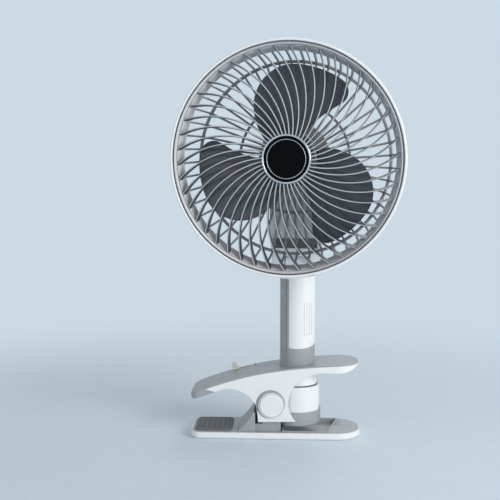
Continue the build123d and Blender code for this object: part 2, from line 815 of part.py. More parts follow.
def post_body():
    """Grey shell of the post with its foot, screw recesses and a fine line beside the panel."""
    body = post_tube() - panel_region(0)
    line = block(post_radius - groove_depth, post_radius * 2, -groove_width / 4, groove_width / 4,
                 jaw_end_z, post_top_z)
    body -= Rot(0, 0, seam_groove_angle - 90) * line
    for angle in post_screw_angles:
        body -= post_screw_at(angle, disc(screw_head_radius + slip_gap, -screw_head_height, screw_head_height))
        body -= post_screw_at(angle, disc(screw_shank_radius + slip_gap, -post_wall * 2, 0))
    return body


def post_panel():
    """White panel of the post with a short row of upright grooves."""
    panel = post_tube() & panel_region(slip_gap)
    line = block(post_radius - groove_depth, post_radius * 2, -groove_width / 2, groove_width / 2,
                 groove_low_z, groove_high_z)
    first = groove_middle - groove_step * (groove_count - 1) / 2
    for index in range(groove_count):
        panel -= Rot(0, 0, first + index * groove_step - 90) * line
    return panel


def post_cap():
    """Top plate of the post with a skirt inside the tube and the swivel's bore."""
    under = post_top_z - cap_plate
    cap = disc(post_radius, under, post_top_z)
    cap = fillet(cap.edges().sort_by(Axis.Z)[-1], groove_depth)
    cap += disc(post_bore - slip_gap, under - cap_skirt_height, under)
    cap -= disc(post_bore - slip_gap - cap_skirt_wall, under - cap_skirt_height, under)
    cap += disc(stem_radius + stem_sleeve, stem_low_z + moving_gap, under)
    cap -= disc(stem_radius + running_gap, stem_low_z, post_top_z)
    for angle in post_screw_angles:
        cap -= post_screw_at(angle, disc(screw_shank_radius, -post_wall * 3, 0))
    return cap


def post_screws():
    """Screws through the grey shell into the cap's skirt."""
    turned = Pos(0, 0, -screw_head_height) * screw(post_wall + slip_gap)
    return pieces(post_screw_at(angle, turned) for angle in post_screw_angles)


def cell_holder():
    """Plastic tube with a floor that carries the cell inside the post."""
    tube = ring(post_bore - slip_gap, cell_radius + slip_gap, cell_low_z, cell_low_z + cell_length - cell_radius)
    return tube + ring(post_bore - slip_gap, cell_button_radius, cell_low_z - cell_holder_floor, cell_low_z)


def battery_cell():
    """Round cell with its raised contact."""
    cell = disc(cell_radius, cell_low_z, cell_low_z + cell_length)
    cell = fillet(cell.edges(), groove_width)
    return cell + disc(cell_button_radius, cell_low_z + cell_length, cell_low_z + cell_length + cell_button_height)


# ---- barrel ---------------------------------------------------------------------------------
def barrel_washer():
    """Dark ring between the jaw's socket and the barrel."""
    return ring(barrel_washer_radius, post_bore, barrel_top_z, barrel_top_z + barrel_washer_height)


def tongue_notch():
    """Notch in the sleeve's lower edge for the upright tongue of the barrel's cap."""
    half = tongue_width / 2 + slip_gap
    return block(barrel_radius / 2, barrel_radius * 2, -half, half, barrel_low_z, tongue_top_z + slip_gap)


def charging_room(extra):
    """Space of the charging socket, through the barrel's back."""
    inner = barrel_radius + port_rim - port_depth
    half = port_width / 2 + extra
    low = board_z + board_thickness
    return block(-half, half, inner, barrel_radius * 2, low - extra, low + port_height + extra)


def barrel_sleeve():
    """White sleeve under the jaw, closed at its top, with the charging window at the back."""
    sleeve = disc(barrel_radius, barrel_split_z, barrel_top_z)
    sleeve = fillet(sleeve.edges().sort_by(Axis.Z)[-1], barrel_edge_radius)
    sleeve -= disc(barrel_radius - barrel_wall, barrel_split_z, barrel_top_z - barrel_floor)
    sleeve -= disc(barrel_hole_radius, barrel_split_z, barrel_top_z)
    sleeve = Rot(0, 0, 45) * sleeve
    sleeve -= tongue_notch()
    return sleeve - charging_room(slip_gap)


def barrel_cap():
    """Grey cup that closes the barrel, with a spigot inside the sleeve and a side tongue."""
    inside = barrel_radius - barrel_wall
    cap = disc(barrel_radius, barrel_low_z, barrel_split_z)
    cap = fillet(cap.edges().sort_by(Axis.Z)[0], barrel_edge_radius)
    cap += disc(inside - slip_gap, barrel_split_z, barrel_split_z + barrel_spigot_height)
    cap -= disc(inside - slip_gap - barrel_wall / 2, barrel_low_z + barrel_floor,
                barrel_split_z + barrel_spigot_height)
    key = block(barrel_radius - barrel_edge_radius, barrel_radius + tongue_proud, -tongue_width / 2,
                tongue_width / 2, barrel_low_z + barrel_edge_radius, tongue_top_z)
    cap += key & disc(barrel_radius + tongue_proud, 0, barrel_top_z)
    return cap


def control_board():
    """Round circuit board with its raised parts."""
    board = disc(board_radius, board_z, board_z + board_thickness)
    chip_top = board_z + board_thickness * 2
    board += block(-board_radius / 2, 0, -board_radius / 2, 0, board_z, chip_top)
    board += disc(board_radius / 5, board_z, board_z + board_radius / 2, board_radius / 2, -board_radius / 3)
    return board


def charging_socket():
    """Metal shell of the charging inlet, open to the back."""
    shell = block(-port_width / 2, port_width / 2, barrel_radius + port_rim - port_depth,
                  barrel_radius - groove_depth, board_z + board_thickness,
                  board_z + board_thickness + port_height)
    shell = fillet(shell.edges().filter_by(Axis.Y), port_height / 2 - groove_depth)
    mouth = block(-port_width / 2 + groove_depth, port_width / 2 - groove_depth,
                  barrel_radius + port_rim - port_depth + groove_width, barrel_radius,
                  board_z + board_thickness + groove_depth / 2,
                  board_z + board_thickness + port_height - groove_depth / 2)
    mouth = fillet(mouth.edges().filter_by(Axis.Y), port_height / 2 - groove_depth * 1.5)
    tip = block(-port_width / 4, port_width / 4, barrel_radius + port_rim - port_depth, barrel_radius - port_rim * 2,
                board_z + board_thickness + port_height / 2 - groove_depth / 2,
                board_z + board_thickness + port_height / 2 + groove_depth / 2)
    return shell - mouth + tip


# ---- swivel and tilt hinge ------------------------------------------------------------------
def neck_knuckle():
    """Stem in the post's cap with the middle knuckle of the tilt hinge on top."""
    seat = post_top_z + moving_gap
    body = disc(stem_radius, stem_low_z, hinge_z - knuckle_radius / 2)
    body += disc(flange_radius, seat, seat + flange_height)
    across = Pos(-knuckle_half, 0, hinge_z) * Rot(0, 90, 0)
    body += across * disc(knuckle_radius, 0, 2 * knuckle_half)
    body -= across * disc(tilt_pin_radius + running_gap, 0, 2 * knuckle_half)
    body -= disc(screw_shank_radius, stem_low_z, hinge_z - knuckle_radius)
    return body


def swivel_retainer():
    """Washer and screw that keep the stem in the cap."""
    low = stem_low_z - retainer_height
    keeper = disc(retainer_radius, low, stem_low_z) - disc(screw_shank_radius, low, stem_low_z)
    bolt = Pos(0, 0, low) * Rot(180, 0, 0) * screw(post_wall * 4)
    return pieces([keeper, bolt])


def tilt_pin():
    """Steel axle of the tilt hinge, held in the arm's ears."""
    return Pos(-ear_outer, 0, hinge_z) * Rot(0, 90, 0) * disc(tilt_pin_radius, 0, 2 * ear_outer)


def tilt_washers():
    """Friction washers between the knuckle and the ears."""
    shim = ring(knuckle_radius - tilt_washer, tilt_pin_radius, 0, tilt_washer)
    right = Pos(knuckle_half, 0, hinge_z) * Rot(0, 90, 0) * shim
    left = Pos(-knuckle_half - tilt_washer, 0, hinge_z) * Rot(0, 90, 0) * shim
    return pieces([right, left])


def tilt_caps():
    """Round caps over the ends of the axle."""
    cap = disc(tilt_cap_radius, 0, tilt_cap_height)
    cap = fillet(cap.edges().sort_by(Axis.Z)[-1], tilt_cap_height / 2)
    right = Pos(ear_outer, 0, hinge_z) * Rot(0, 90, 0) * cap
    left = Pos(-ear_outer, 0, hinge_z) * Rot(0, -90, 0) * cap
    return pieces([right, left])


# ---- neck arm -------------------------------------------------------------------------------
def arm_front_view(inset):
    """Front outline of the arm in X and Z: a strap with a round head on the motor's axis."""
    half = ear_outer - inset
    low = hinge_z - knuckle_radius + inset
    strap = Pos(0, (low + head_z) / 2) * Rectangle(2 * half, head_z - low)
    return strap + Pos(0, head_z) * Circle(arm_head_radius - inset)


def arm_side_view(skin):
    """Side outline of the arm: the ear's circle drawn out to the arm's full depth."""
    top = head_z + arm_head_radius
    ear = Pos(0, hinge_z) * Circle(knuckle_radius - skin)
    box = Polyline((arm_front, hinge_z + arm_foot_rise), (arm_front, top), (arm_back_top - skin, top), close=True)
    return make_hull(ear.edges() + box.edges())


def arm_block(front_inset, skin):
    """Front and side outlines of the arm brought together."""
    deep = arm_head_radius * 2
    side = extrude(Plane.YZ * arm_side_view(skin), deep, both=True)
    front = extrude(Plane.XZ * arm_front_view(front_inset), deep, both=True)
    return side & front


def neck_arm():
    """White arm from the tilt hinge up to the motor, hollow from its back."""
    arm = arm_block(0, 0)
    slot_half = knuckle_half + tilt_washer + moving_gap
    arm -= block(-slot_half, slot_half, -face_distance, face_distance, 0, hinge_z + knuckle_radius + 2 * moving_gap)
    hollow = extrude(Plane.XZ * arm_front_view(arm_wall), arm_head_radius * 2, both=True)
    hollow &= block(-arm_head_radius, arm_head_radius, arm_front + arm_wall, arm_head_radius,
                    hinge_z + arm_hollow_rise, head_z * 2)
    arm -= hollow
    arm -= Pos(-ear_outer, 0, hinge_z) * Rot(0, 90, 0) * disc(tilt_pin_radius, 0, 2 * ear_outer)
    for x, z in grille_screw_places():
        arm -= Pos(x, arm_front, head_z + z) * Rot(-90, 0, 0) * disc(screw_shank_radius, 0, arm_wall)
    for x, z in motor_screw_places():
        pocket = disc(screw_head_radius + slip_gap, 0, screw_head_height + slip_gap)
        arm -= Pos(x, arm_front, head_z + z) * Rot(-90, 0, 0) * pocket
    return arm


def arm_cover():
    """Back cover of the arm with a row of vents behind the motor."""
    shape = arm_block(arm_wall + slip_gap, 0) - arm_block(arm_wall + slip_gap, arm_cover_thickness)
    shape &= block(-arm_head_radius, arm_head_radius, arm_front + arm_wall, arm_head_radius,
                   hinge_z + arm_hollow_rise + slip_gap, head_z * 2)
    for index in range(vent_count):
        x = (index - (vent_count - 1) / 2) * vent_step
        shape -= block(x - vent_width / 2, x + vent_width / 2, arm_front + arm_wall, arm_head_radius,
                       head_z - vent_length / 2, head_z + vent_length / 2)
    return shape.solids().sort_by(SortBy.VOLUME)[-1]


# ---- fan head, drawn about +Z with the front face at z = 0 and depth along -Z -------------
def turned(points):
    """Solid of revolution about Z from corner points given as radius and depth."""
    face = Plane.XZ * make_face(Polyline(*[(radius, -depth) for radius, depth in points], close=True))
    return revolve(face, Axis.Z)


def rim_trim():
    """White outer ring of the cage with a rounded front and a groove inside it."""
    band = ring(rim_radius, rim_radius - rim_lip, -rim_groove_depth, 0)
    band = fillet(band.edges().group_by(Axis.Z)[-1], rim_lip / 2 - running_gap)
    return band + ring(rim_radius, rim_radius - rim_thickness, -rim_depth, -rim_groove_depth)


def spoke_arc(shift):
    """One curved spoke's side, a circular arc swept round with radius, moved sideways by a shift."""
    points = []
    for radius, turn in ((spoke_inner_radius, 0), (spoke_mid_radius, spoke_mid_turn),
                         (spoke_outer_radius, spoke_end_turn)):
        points.append(polar(radius, turn + math.degrees(shift / radius)))
    return ThreePointArc(*points)


def spoke_plan():
    """Plan of one spoke."""
    right = spoke_arc(-spoke_width / 2)
    left = spoke_arc(spoke_width / 2)
    return outline(right, Line(right @ 1, left @ 1), left, Line(left @ 0, right @ 0))


def spoke_layer():
    """Shallow dome that the spokes fill: a front arc, and a back arc that deepens outwards."""
    centre = polar(spoke_inner_radius, 0)[0] - hub_cup_wall
    middle = (centre + spoke_outer_radius) / 2
    reach = spoke_outer_radius + spoke_width
    front = ThreePointArc((centre, -spoke_front_hub), (middle, -spoke_front_mid), (reach, -spoke_front_end))
    back = ThreePointArc((centre, -spoke_front_hub - spoke_fin), (middle, -spoke_front_mid - spoke_fin),
                         (reach, -spoke_front_end - spoke_fin_end))
    face = outline(front, Line(front @ 1, back @ 1), back, Line(back @ 0, front @ 0))
    return revolve(Plane.XZ * face, Axis.Z)


def front_grille():
    """Silver grille: inward sloping band, curved spokes and the cup of the hub."""
    outer = cone_outer_radius
    wall = cone_wall
    grille = turned([(outer - groove_depth, groove_depth), (outer, groove_width), (outer, collar_depth),
                     (outer - wall, collar_depth), (outer - wall, groove_depth + 2 * wall),
                     (cone_inner_radius, cone_depth + wall), (cone_inner_radius, cone_depth)])
    spoke = extrude(spoke_plan(), -cone_depth)
    spokes = Part() + around(spoke, spoke_count, spoke_end_angle - spoke_end_turn)
    grille += spokes & spoke_layer()
    cup = hub_radius - hub_cup_wall
    grille += disc(hub_radius, -hub_cup_depth, -hub_ring_depth + slip_gap)
    grille -= disc(cup, -hub_ring_depth, rim_depth)
    grille -= disc(cup - hub_cup_wall, -hub_cup_depth, -hub_ring_depth - hub_cup_wall)
    grille -= ring(hub_radius, cup, -hub_ring_depth, rim_depth)
    return grille


def hub_ring():
    """Silver ring around the hub's face."""
    band = ring(hub_radius, hub_radius - hub_cup_wall, -hub_ring_depth, hub_ring_proud)
    return fillet(band.edges().group_by(Axis.Z)[-1], hub_ring_proud / 2)


def badge_groove(extra):
    """Thin ring let into the hub's face."""
    return ring(badge_radius + badge_line / 2, badge_radius - badge_line / 2,
                -hub_disc_sink - badge_line_depth, -hub_disc_sink + extra)


def hub_disc():
    """Black face of the hub."""
    radius = hub_radius - hub_cup_wall - hub_disc_gap
    face = disc(radius, -hub_disc_sink - hub_disc_thickness, -hub_disc_sink)
    return face - badge_groove(0)


def hub_line():
    """Thin silver ring in the hub's face."""
    return badge_groove(0)


def tilted_bar(start, end, width, depth):
    """Straight bar between two points, its depth kept radial."""
    way = Vector(*end) - Vector(*start)
    outwards = Vector(start[0], start[1], 0)
    section = Plane(origin=start, x_dir=outwards, z_dir=way) * Rectangle(depth, width)
    return extrude(section, way.length, dir=way)


def rear_grille():
    """Rear cage: front flange, side ribs, outer and inner ring, back ribs and motor plate."""
    front = -collar_depth
    back = -rear_ring_depth
    floor = back - rear_plate_thickness
    cage = ring(cone_outer_radius - slip_gap, collar_inner_radius, front - collar_thickness, front)
    cage += ring(rear_ring_radius + rear_ring_width / 2, rear_ring_radius - rear_ring_width / 2, floor, back)
    cage += ring(rear_small_radius + rear_small_width / 2, rear_small_radius - rear_small_width / 2, floor, back)
    cage += disc(rear_plate_radius, floor, back)
    inner = rear_plate_radius - rear_rib_width
    outer = rear_ring_radius
    arc = ThreePointArc(polar(inner, 0), polar((inner + outer) / 2, rear_rib_turn / 2), polar(outer, rear_rib_turn))
    half = rear_rib_width / 2
    sides = []
    for shift in (-half, half):
        sides.append(ThreePointArc(*[polar((arc @ t).length, Vector(1, 0).get_signed_angle(arc @ t)
                                           + math.degrees(shift / (arc @ t).length)) for t in (0, 0.5, 1)]))
    plan = outline(sides[0], Line(sides[0] @ 1, sides[1] @ 1), sides[1], Line(sides[1] @ 0, sides[0] @ 0))
    rib = Pos(0, 0, floor) * extrude(plan, rear_plate_thickness - groove_depth)
    start = (*polar(collar_inner_radius + wall_rib_depth / 2, rear_rib_turn - wall_rib_turn), front - groove_depth)
    end = (*polar(rear_ring_radius, rear_rib_turn), floor + groove_depth)
    wall = tilted_bar(start, end, rear_rib_width, wall_rib_depth)
    cage += around(rib, rear_rib_count)
    cage += around(wall, rear_rib_count)
    cage -= disc(motor_boss_radius + slip_gap, floor, back)
    for x, y in motor_screw_places():
        cage -= disc(screw_shank_radius + slip_gap, floor, back, x, y)
    for x, y in grille_screw_places():
        cage -= disc(screw_shank_radius + slip_gap, floor, back, x, y)
    return cage


def grille_screw_places():
    """Middle points of the screws between rear grille and arm."""
    circle = rear_plate_radius - 2 * screw_head_radius
    return [polar(circle, 45 + step * 360 / grille_screw_count) for step in range(grille_screw_count)]


def grille_screws():
    """Screws from inside the cage into the arm."""
    back = -rear_ring_depth
    return pieces(Pos(x, y, back) * screw(rear_plate_thickness + arm_wall) for x, y in grille_screw_places())


# ---- motor and blades -----------------------------------------------------------------------
def motor_screw_places():
    """Middle points of the motor's screws."""
    return [polar(motor_screw_circle, angle) for angle in (0, 180)]


def motor_can():
    """Steel can of the motor with a bearing seat at each end."""
    back = -rear_ring_depth
    front = back + motor_length
    can = disc(motor_radius, back, front)
    can = fillet(can.edges().sort_by(Axis.Z)[-1], motor_wall)
    can += disc(motor_boss_radius, back - rear_plate_thickness, back)
    can += disc(motor_boss_radius, front, front + motor_wall)
    can -= disc(motor_radius - motor_wall, back + motor_wall, front - motor_wall)
    can -= disc(bush_radius, front - motor_wall, front + motor_wall)
    can -= disc(bush_radius, back - rear_plate_thickness + motor_wall, back + motor_wall)
    can -= disc(shaft_radius + slip_gap, back - rear_plate_thickness, front + motor_wall)
    for x, y in motor_screw_places():
        can -= disc(screw_shank_radius, back, back + motor_wall, x, y)
    return can


def motor_magnets():
    """Two curved magnets against the can's wall."""
    low = -rear_ring_depth + 2 * motor_wall
    high = -rear_ring_depth + motor_length - 2 * motor_wall
    outer = motor_radius - motor_wall
    band = ring(outer, outer - magnet_thickness, low, high)
    gap = block(-motor_radius, motor_radius, -magnet_thickness, magnet_thickness, low, high)
    return pieces((band - gap).solids())


def motor_bushes():
    """Front and rear sleeve bearing of the shaft."""
    front = -rear_ring_depth + motor_length
    back = -rear_ring_depth
    bore = shaft_radius + running_gap
    return pieces([
        ring(bush_radius, bore, front - motor_wall, front + motor_wall),
        ring(bush_radius, bore, back - rear_plate_thickness + motor_wall, back + motor_wall)])


def motor_armature():
    """Wound core on the shaft with its commutator."""
    low = -rear_ring_depth + 3 * motor_wall + magnet_thickness
    high = -rear_ring_depth + motor_length - 3 * motor_wall
    radius = motor_radius - motor_wall - magnet_thickness - armature_gap
    core = disc(radius, low, high)
    slot = block(radius * 0.55, radius * 2, -groove_width, groove_width, low, high)
    core -= around(slot, 5, 36)
    core += disc(bush_radius, low - magnet_thickness, low)
    return core - disc(shaft_radius, low - magnet_thickness, high)


def motor_shaft():
    """Steel shaft from the rear bearing out to the blade's nut."""
    back = -rear_ring_depth - rear_plate_thickness + motor_wall
    return disc(shaft_radius, back, -shaft_front_depth)


def motor_screws():
    """Screws through the rear grille's plate into the motor."""
    floor = -rear_ring_depth - rear_plate_thickness
    turned_over = Rot(180, 0, 0) * screw(rear_plate_thickness + motor_wall)
    return pieces(Pos(x, y, floor) * turned_over for x, y in motor_screw_places())


def blade_outline():
    """Front outline of one blade about +X: swept leading edge, round tip, long trailing edge."""
    root = blade_hub_radius - blade_hub_wall
    lead_root = polar(root, blade_lead_root)
    lead_tip = polar(blade_tip_radius, blade_lead_tip)
    trail_tip = polar(blade_tip_radius, blade_trail_tip)
    trail_root = polar(root, blade_trail_root)
    tip_middle = polar(blade_tip_radius, (blade_lead_tip + blade_trail_tip) / 2)
    root_middle = polar(root, (blade_lead_root + blade_trail_root) / 2)
    face = outline(
        ThreePointArc(lead_root, polar(blade_lead_mid_radius, blade_lead_mid), lead_tip),
        ThreePointArc(lead_tip, tip_middle, trail_tip),
        ThreePointArc(trail_tip, polar(blade_trail_mid_radius, blade_trail_mid), trail_root),
        ThreePointArc(trail_root, root_middle, lead_root))
    corners = face.vertices().sort_by(lambda corner: corner.distance_to(Vector(0, 0)))
    lead = corners.sort_by(Axis.Y)[0]
    trail = corners.filter_by(lambda corner: corner.Y > 0).sort_by(Axis.X)[-1]
    face = fillet(lead, blade_lead_corner)
    return fillet(face.vertices().sort_by(lambda corner: corner.distance_to(trail.center()))[0], blade_trail_corner)


def blade_sheet():
    """Twisted sheet that the blade is cut from, its slope easing from root to tip."""
    half = blade_tip_radius
    sections = []
    for x, slope in ((0, blade_root_slope), (blade_tip_radius, blade_tip_slope)):
        lean = math.degrees(math.atan(slope))
        plane = Plane(origin=(x, 0, -blade_middle_depth), x_dir=(0, 1, 0), z_dir=(1, 0, 0))
        sections.append(plane * Rot(0, 0, lean) * Rectangle(2 * half, blade_thickness))
    return loft(sections, ruled=True)


def fan_blade():
    """Three twisted blades on a round hub with a boss for the shaft."""
    blade = extrude(blade_outline(), -rear_ring_depth) & blade_sheet()
    hub = disc(blade_hub_radius, -blade_hub_back, -blade_hub_front)
    hub = fillet(hub.edges().sort_by(Axis.Z)[-1], blade_hub_wall)
    hub -= disc(blade_hub_radius - blade_hub_wall, -blade_hub_back, -blade_hub_front - blade_hub_wall)
    hub += disc(blade_boss_radius, -blade_hub_back, -blade_hub_front)
    rotor = hub + around(blade, blade_count, first_blade_angle)
    return rotor - disc(shaft_radius, -blade_hub_back, -blade_hub_front)


def blade_nut():
    """Nut that holds the blades on the shaft."""
    nut = Pos(0, 0, -blade_hub_front) * extrude(RegularPolygon(nut_radius, 6), nut_height)
    return nut - disc(shaft_radius, -blade_hub_front, -shaft_front_depth)


# ---- all nodes ------------------------------------------------------------------------------
def build():
    """Every node by name, in the part's own frame."""
    fixed = {
        "base_shell": base_shell(),
        "base_cover": base_cover(),
        "base_feet": base_feet(),
        "base_screws": base_screws(),
        "base_grip_pad": base_grip_pad(),
        "jaw_shell": jaw_shell(),
        "jaw_cover": jaw_cover(),
        "jaw_grip_pad": jaw_pad(0),
        "pivot_pin": pivot_pin(),
        "pivot_cap_front": pivot_cap(-1),
        "pivot_cap_rear": pivot_cap(1),
        "pivot_collar_front": pivot_collar(-1),
        "pivot_collar_rear": pivot_collar(1),
        "torsion_spring_front": torsion_spring(-1),
        "torsion_spring_rear": torsion_spring(1),
        "slider_knob": slider_knob(),
        "speed_switch": speed_switch(),
        "post_body": post_body(),
        "post_panel": post_panel(),
        "post_cap": post_cap(),
        "post_screws": post_screws(),
        "cell_holder": cell_holder(),
        "battery_cell": battery_cell(),
        "barrel_washer": barrel_washer(),
        "barrel_sleeve": barrel_sleeve(),
        "barrel_cap": barrel_cap(),
        "control_board": control_board(),
        "charging_socket": charging_socket(),
    }
    neck = {
        "neck_knuckle": neck_knuckle(),
        "swivel_retainer": swivel_retainer(),
        "tilt_pin": tilt_pin(),
        "tilt_washers": tilt_washers(),
        "tilt_caps": tilt_caps(),
        "neck_arm": neck_arm(),
        "arm_cover": arm_cover(),
    }
    head = {
        "rim_trim": rim_trim(),
        "front_grille": front_grille(),
        "hub_ring": hub_ring(),
        "hub_disc": hub_disc(),
        "hub_line": hub_line(),
        "rear_grille": rear_grille(),
        "grille_screws": grille_screws(),
        "motor_can": motor_can(),
        "motor_magnets": motor_magnets(),
        "motor_bushes": motor_bushes(),
        "motor_armature": motor_armature(),
        "motor_shaft": motor_shaft(),
        "motor_screws": motor_screws(),
        "fan_blade": fan_blade(),
        "blade_nut": blade_nut(),
    }
    nodes = dict(fixed)
    nodes.update({name: neck_frame * shape for name, shape in neck.items()})
    nodes.update({name: head_frame * shape for name, shape in head.items()})
    return nodes


def main():
    """Write one STEP file per node."""
    os.makedirs("parts", exist_ok=True)
    for name, shape in build().items():
        export_step(shape, f"parts/{name}.step")
    print(f"torsion springs: least gap between turns {spring_gap():.2f} mm")


main()
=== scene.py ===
import json
import math

import bmesh
import bpy
import numpy as np
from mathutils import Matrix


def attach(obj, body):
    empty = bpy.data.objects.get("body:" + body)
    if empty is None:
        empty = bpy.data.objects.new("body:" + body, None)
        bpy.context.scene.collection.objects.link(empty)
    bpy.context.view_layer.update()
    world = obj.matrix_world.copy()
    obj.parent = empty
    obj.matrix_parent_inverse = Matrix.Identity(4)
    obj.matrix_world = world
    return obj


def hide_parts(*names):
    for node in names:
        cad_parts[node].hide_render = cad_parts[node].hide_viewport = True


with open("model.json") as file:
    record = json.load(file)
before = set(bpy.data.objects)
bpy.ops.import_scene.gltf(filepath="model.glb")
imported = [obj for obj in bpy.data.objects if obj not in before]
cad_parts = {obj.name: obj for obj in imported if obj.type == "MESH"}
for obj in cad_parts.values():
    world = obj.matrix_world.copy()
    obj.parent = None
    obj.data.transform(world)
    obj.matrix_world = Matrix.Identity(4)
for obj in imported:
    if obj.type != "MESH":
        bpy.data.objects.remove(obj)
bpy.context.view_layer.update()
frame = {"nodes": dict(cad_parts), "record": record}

# Clip fan: a caged fan head on an upright battery post, carried by a sprung table clamp.
# Shapes are worked out in millimetres. The head's pieces are drawn in head coordinates: across,
# up and forward from the middle of the cage's front face, and then set into the row frame.

# ---- sizes, in millimetres ------------------------------------------------------------------
HEAD_TURN = math.radians(6.7)
FACE_DISTANCE = 91.0         # from the post's axis to the cage's front face
HEAD_HEIGHT = 272.7
FORWARD = (-math.sin(HEAD_TURN), -math.cos(HEAD_TURN), 0.0)

RIM_RADIUS = 105.7
RIM_DEPTH = 17.0
RIM_INNER = 102.1
GROOVE_RADIUS = 103.4        # where the rim's front lip ends and its inner step begins
GROOVE_DEPTH = 4.0
BAND_RADIUS = 101.95
BAND_INNER = 96.0
BAND_DEPTH = 17.8            # of the band's inner lip
BAND_SKIRT = 18.0            # depth of the band's outer wall
SPOKES = 46
SPOKE_WIDTH = 1.7
SPOKE_START = -25.8          # degrees at which the first spoke leaves the hub
SPOKE_TURNS = (0.0, 12.6, 28.8)
SPOKE_RADII = (21.4, 58.0, 100.2)
SPOKE_LEAN = (4.0, 13.0)     # degrees that a fin leans at the hub and at the band
SPOKE_FRONT = (1.0, 0.3, 2.1)  # depth of its front edge at the hub, and what reach and its cube add
SPOKE_FIN = (3.0, 2.2, 4.0)  # depth of its fin at the hub, gained on the way, and gained near the band
SPOKE_GAIN_START = 0.55      # share of the way out from which the fin gains faster
HUB_RADIUS = 22.0
HUB_WALL = 20.3              # inside of the bright ring
HUB_FACE = 20.15
LINE_RADIUS = 17.35
LINE_HALF = 0.27             # half the width of the inlaid line

REAR_DEPTH = 60.0
REAR_THICKNESS = 3.0
REAR_RING = 90.2
REAR_SMALL_RING = 52.0
REAR_PLATE = 34.0
REAR_BORE = 6.15
REAR_RIBS = 48
REAR_RIB_RADII = (32.5, 61.0)
BACK_RIB = (2.3, 2.6)        # width and depth of a rib of the back
WALL_RIB = (2.2, 3.2)        # width and depth of a rib of the side
REAR_TURN = 2.0
REAR_COLLAR = 97.0
REAR_COLLAR_EDGE = 101.8
REAR_COLLAR_DEPTHS = (18.0, 21.6)

BLADES = 3
BLADE_DEPTH = 22.5
BLADE_MIDDLE = (55.0, -4.0)
BLADE_SLOPES = (0.36, 0.16)  # rise across a blade at the axis and at the tip
BLADE_TIP = 85.0
BLADE_CROWN = 1.4
BLADE_HALF = 45.0            # distance from the middle line at which the crown has run out
BLADE_SKIN = (0.35, 0.6)     # half the thickness at the edge, and what the middle adds
BLADE_HUB = 26.0
BLADE_HUB_WALL = 1.8
BLADE_BOSS = 5.0
BLADE_HUB_DEPTHS = (13.5, 33.5)

COVER_TOP = 7.0              # of the base's grey cover
RIDGE = (1.3, 1.8)           # width and depth of a finger ridge


# ---- surfaces -------------------------------------------------------------------------------
def head_place(points):
    """Head coordinates to the row frame: forward runs against Y, then all turns about the post."""
    across, up, forward = np.moveaxis(points, -1, 0)
    away = -FACE_DISTANCE - forward
    cosine, sine = math.cos(HEAD_TURN), math.sin(HEAD_TURN)
    return np.stack((across * cosine + away * sine, away * cosine - across * sine, HEAD_HEIGHT + up), -1)


def same_place(points):
    """Points that are in the row frame already."""
    return points


def grid_faces(rows, columns, wrap_rows, wrap_columns, first):
    """Four-cornered faces between each point of a grid and its next neighbours."""
    row = np.arange(rows if wrap_rows else rows - 1)
    column = np.arange(columns if wrap_columns else columns - 1)
    row, column = np.meshgrid(row, column, indexing="ij")
    next_row, next_column = (row + 1) % rows, (column + 1) % columns
    corners = (row * columns + column, row * columns + next_column,
               next_row * columns + next_column, next_row * columns + column)
    return first + np.stack(corners, -1).reshape(-1, 4)


def piece(name, grids, body, slot, stands_for=(), place=head_place, crease=35.0, finish=None):
    """One object from several closed surfaces. Each is a grid of points and two flags that say
    whether its rows and its columns run round. Doubled points are merged, which closes poles.
    It wears its slot's finish, or a variant of it."""
    points, faces, count = [], [], 0
    for grid, wrap_rows, wrap_columns in grids:
        rows, columns = grid.shape[:2]
        points.append(place(grid).reshape(-1, 3) / 1000)
        faces.append(grid_faces(rows, columns, wrap_rows, wrap_columns, count))
        count += rows * columns
    mesh = bpy.data.meshes.new(name)
    mesh.from_pydata(np.concatenate(points).tolist(), [], np.concatenate(faces).tolist())
    shape = bmesh.new()
    shape.from_mesh(mesh)
    bmesh.ops.remove_doubles(shape, verts=shape.verts, dist=2e-6)
    bmesh.ops.recalc_face_normals(shape, faces=shape.faces)
    shape.to_mesh(mesh)
    shape.free()
    mesh.shade_smooth()
    mesh.set_sharp_from_angle(angle=math.radians(crease))
    made = bpy.data.objects.new(name, mesh)
    bpy.context.scene.collection.objects.link(made)
    mesh.materials.append(finish or FINISHES[slot])
    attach(made, body)
    if stands_for:
        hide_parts(*stands_for)
    return made


def rounded(corners, radii, steps=5, closed=True):
    """Outline of corner points with each corner eased: a quadratic curve that leaves and meets
    the two sides at the corner's own radius from it. A radius of 0 keeps the corner."""
    corners = np.asarray(corners, float)
    before, after = np.roll(corners, 1, 0), np.roll(corners, -1, 0)
    reach = np.broadcast_to(np.asarray(radii, float), len(corners))[:, None]
    start = corners + reach * (before - corners) / np.linalg.norm(before - corners, axis=1, keepdims=True)
    stop = corners + reach * (after - corners) / np.linalg.norm(after - corners, axis=1, keepdims=True)
    share = np.linspace(0, 1, steps)[None, :, None]
    curve = (start[:, None] * (1 - share) ** 2 + corners[:, None] * 2 * share * (1 - share)
             + stop[:, None] * share ** 2)
    if not closed:
        curve[0], curve[-1] = corners[0], corners[-1]
    return curve.reshape(-1, 2)


def turned(profile, steps=256, closed=True):
    """Surface of revolution: each profile point, a radius and a depth, is carried round the axis."""
    angle = np.linspace(0, 2 * math.pi, steps, endpoint=False)[:, None]
    radius, depth = profile[:, 0], profile[:, 1]
    grid = np.stack((radius * np.cos(angle), radius * np.sin(angle), -depth + 0 * angle), -1)
    return grid, True, closed


def arc_through(points, steps):
    """Circular arc through three plan points, at even steps of its angle."""
    first, middle, last = (complex(*point) for point in points)
    ratio = (last - first) / (middle - first)
    centre = first + (middle - first) * (ratio - abs(ratio) ** 2) / (2j * ratio.imag)
    sweep = np.angle((last - centre) / (first - centre))
    line = centre + (first - centre) * np.exp(1j * sweep * np.linspace(0, 1, steps))
    return np.stack((line.real, line.imag), -1)


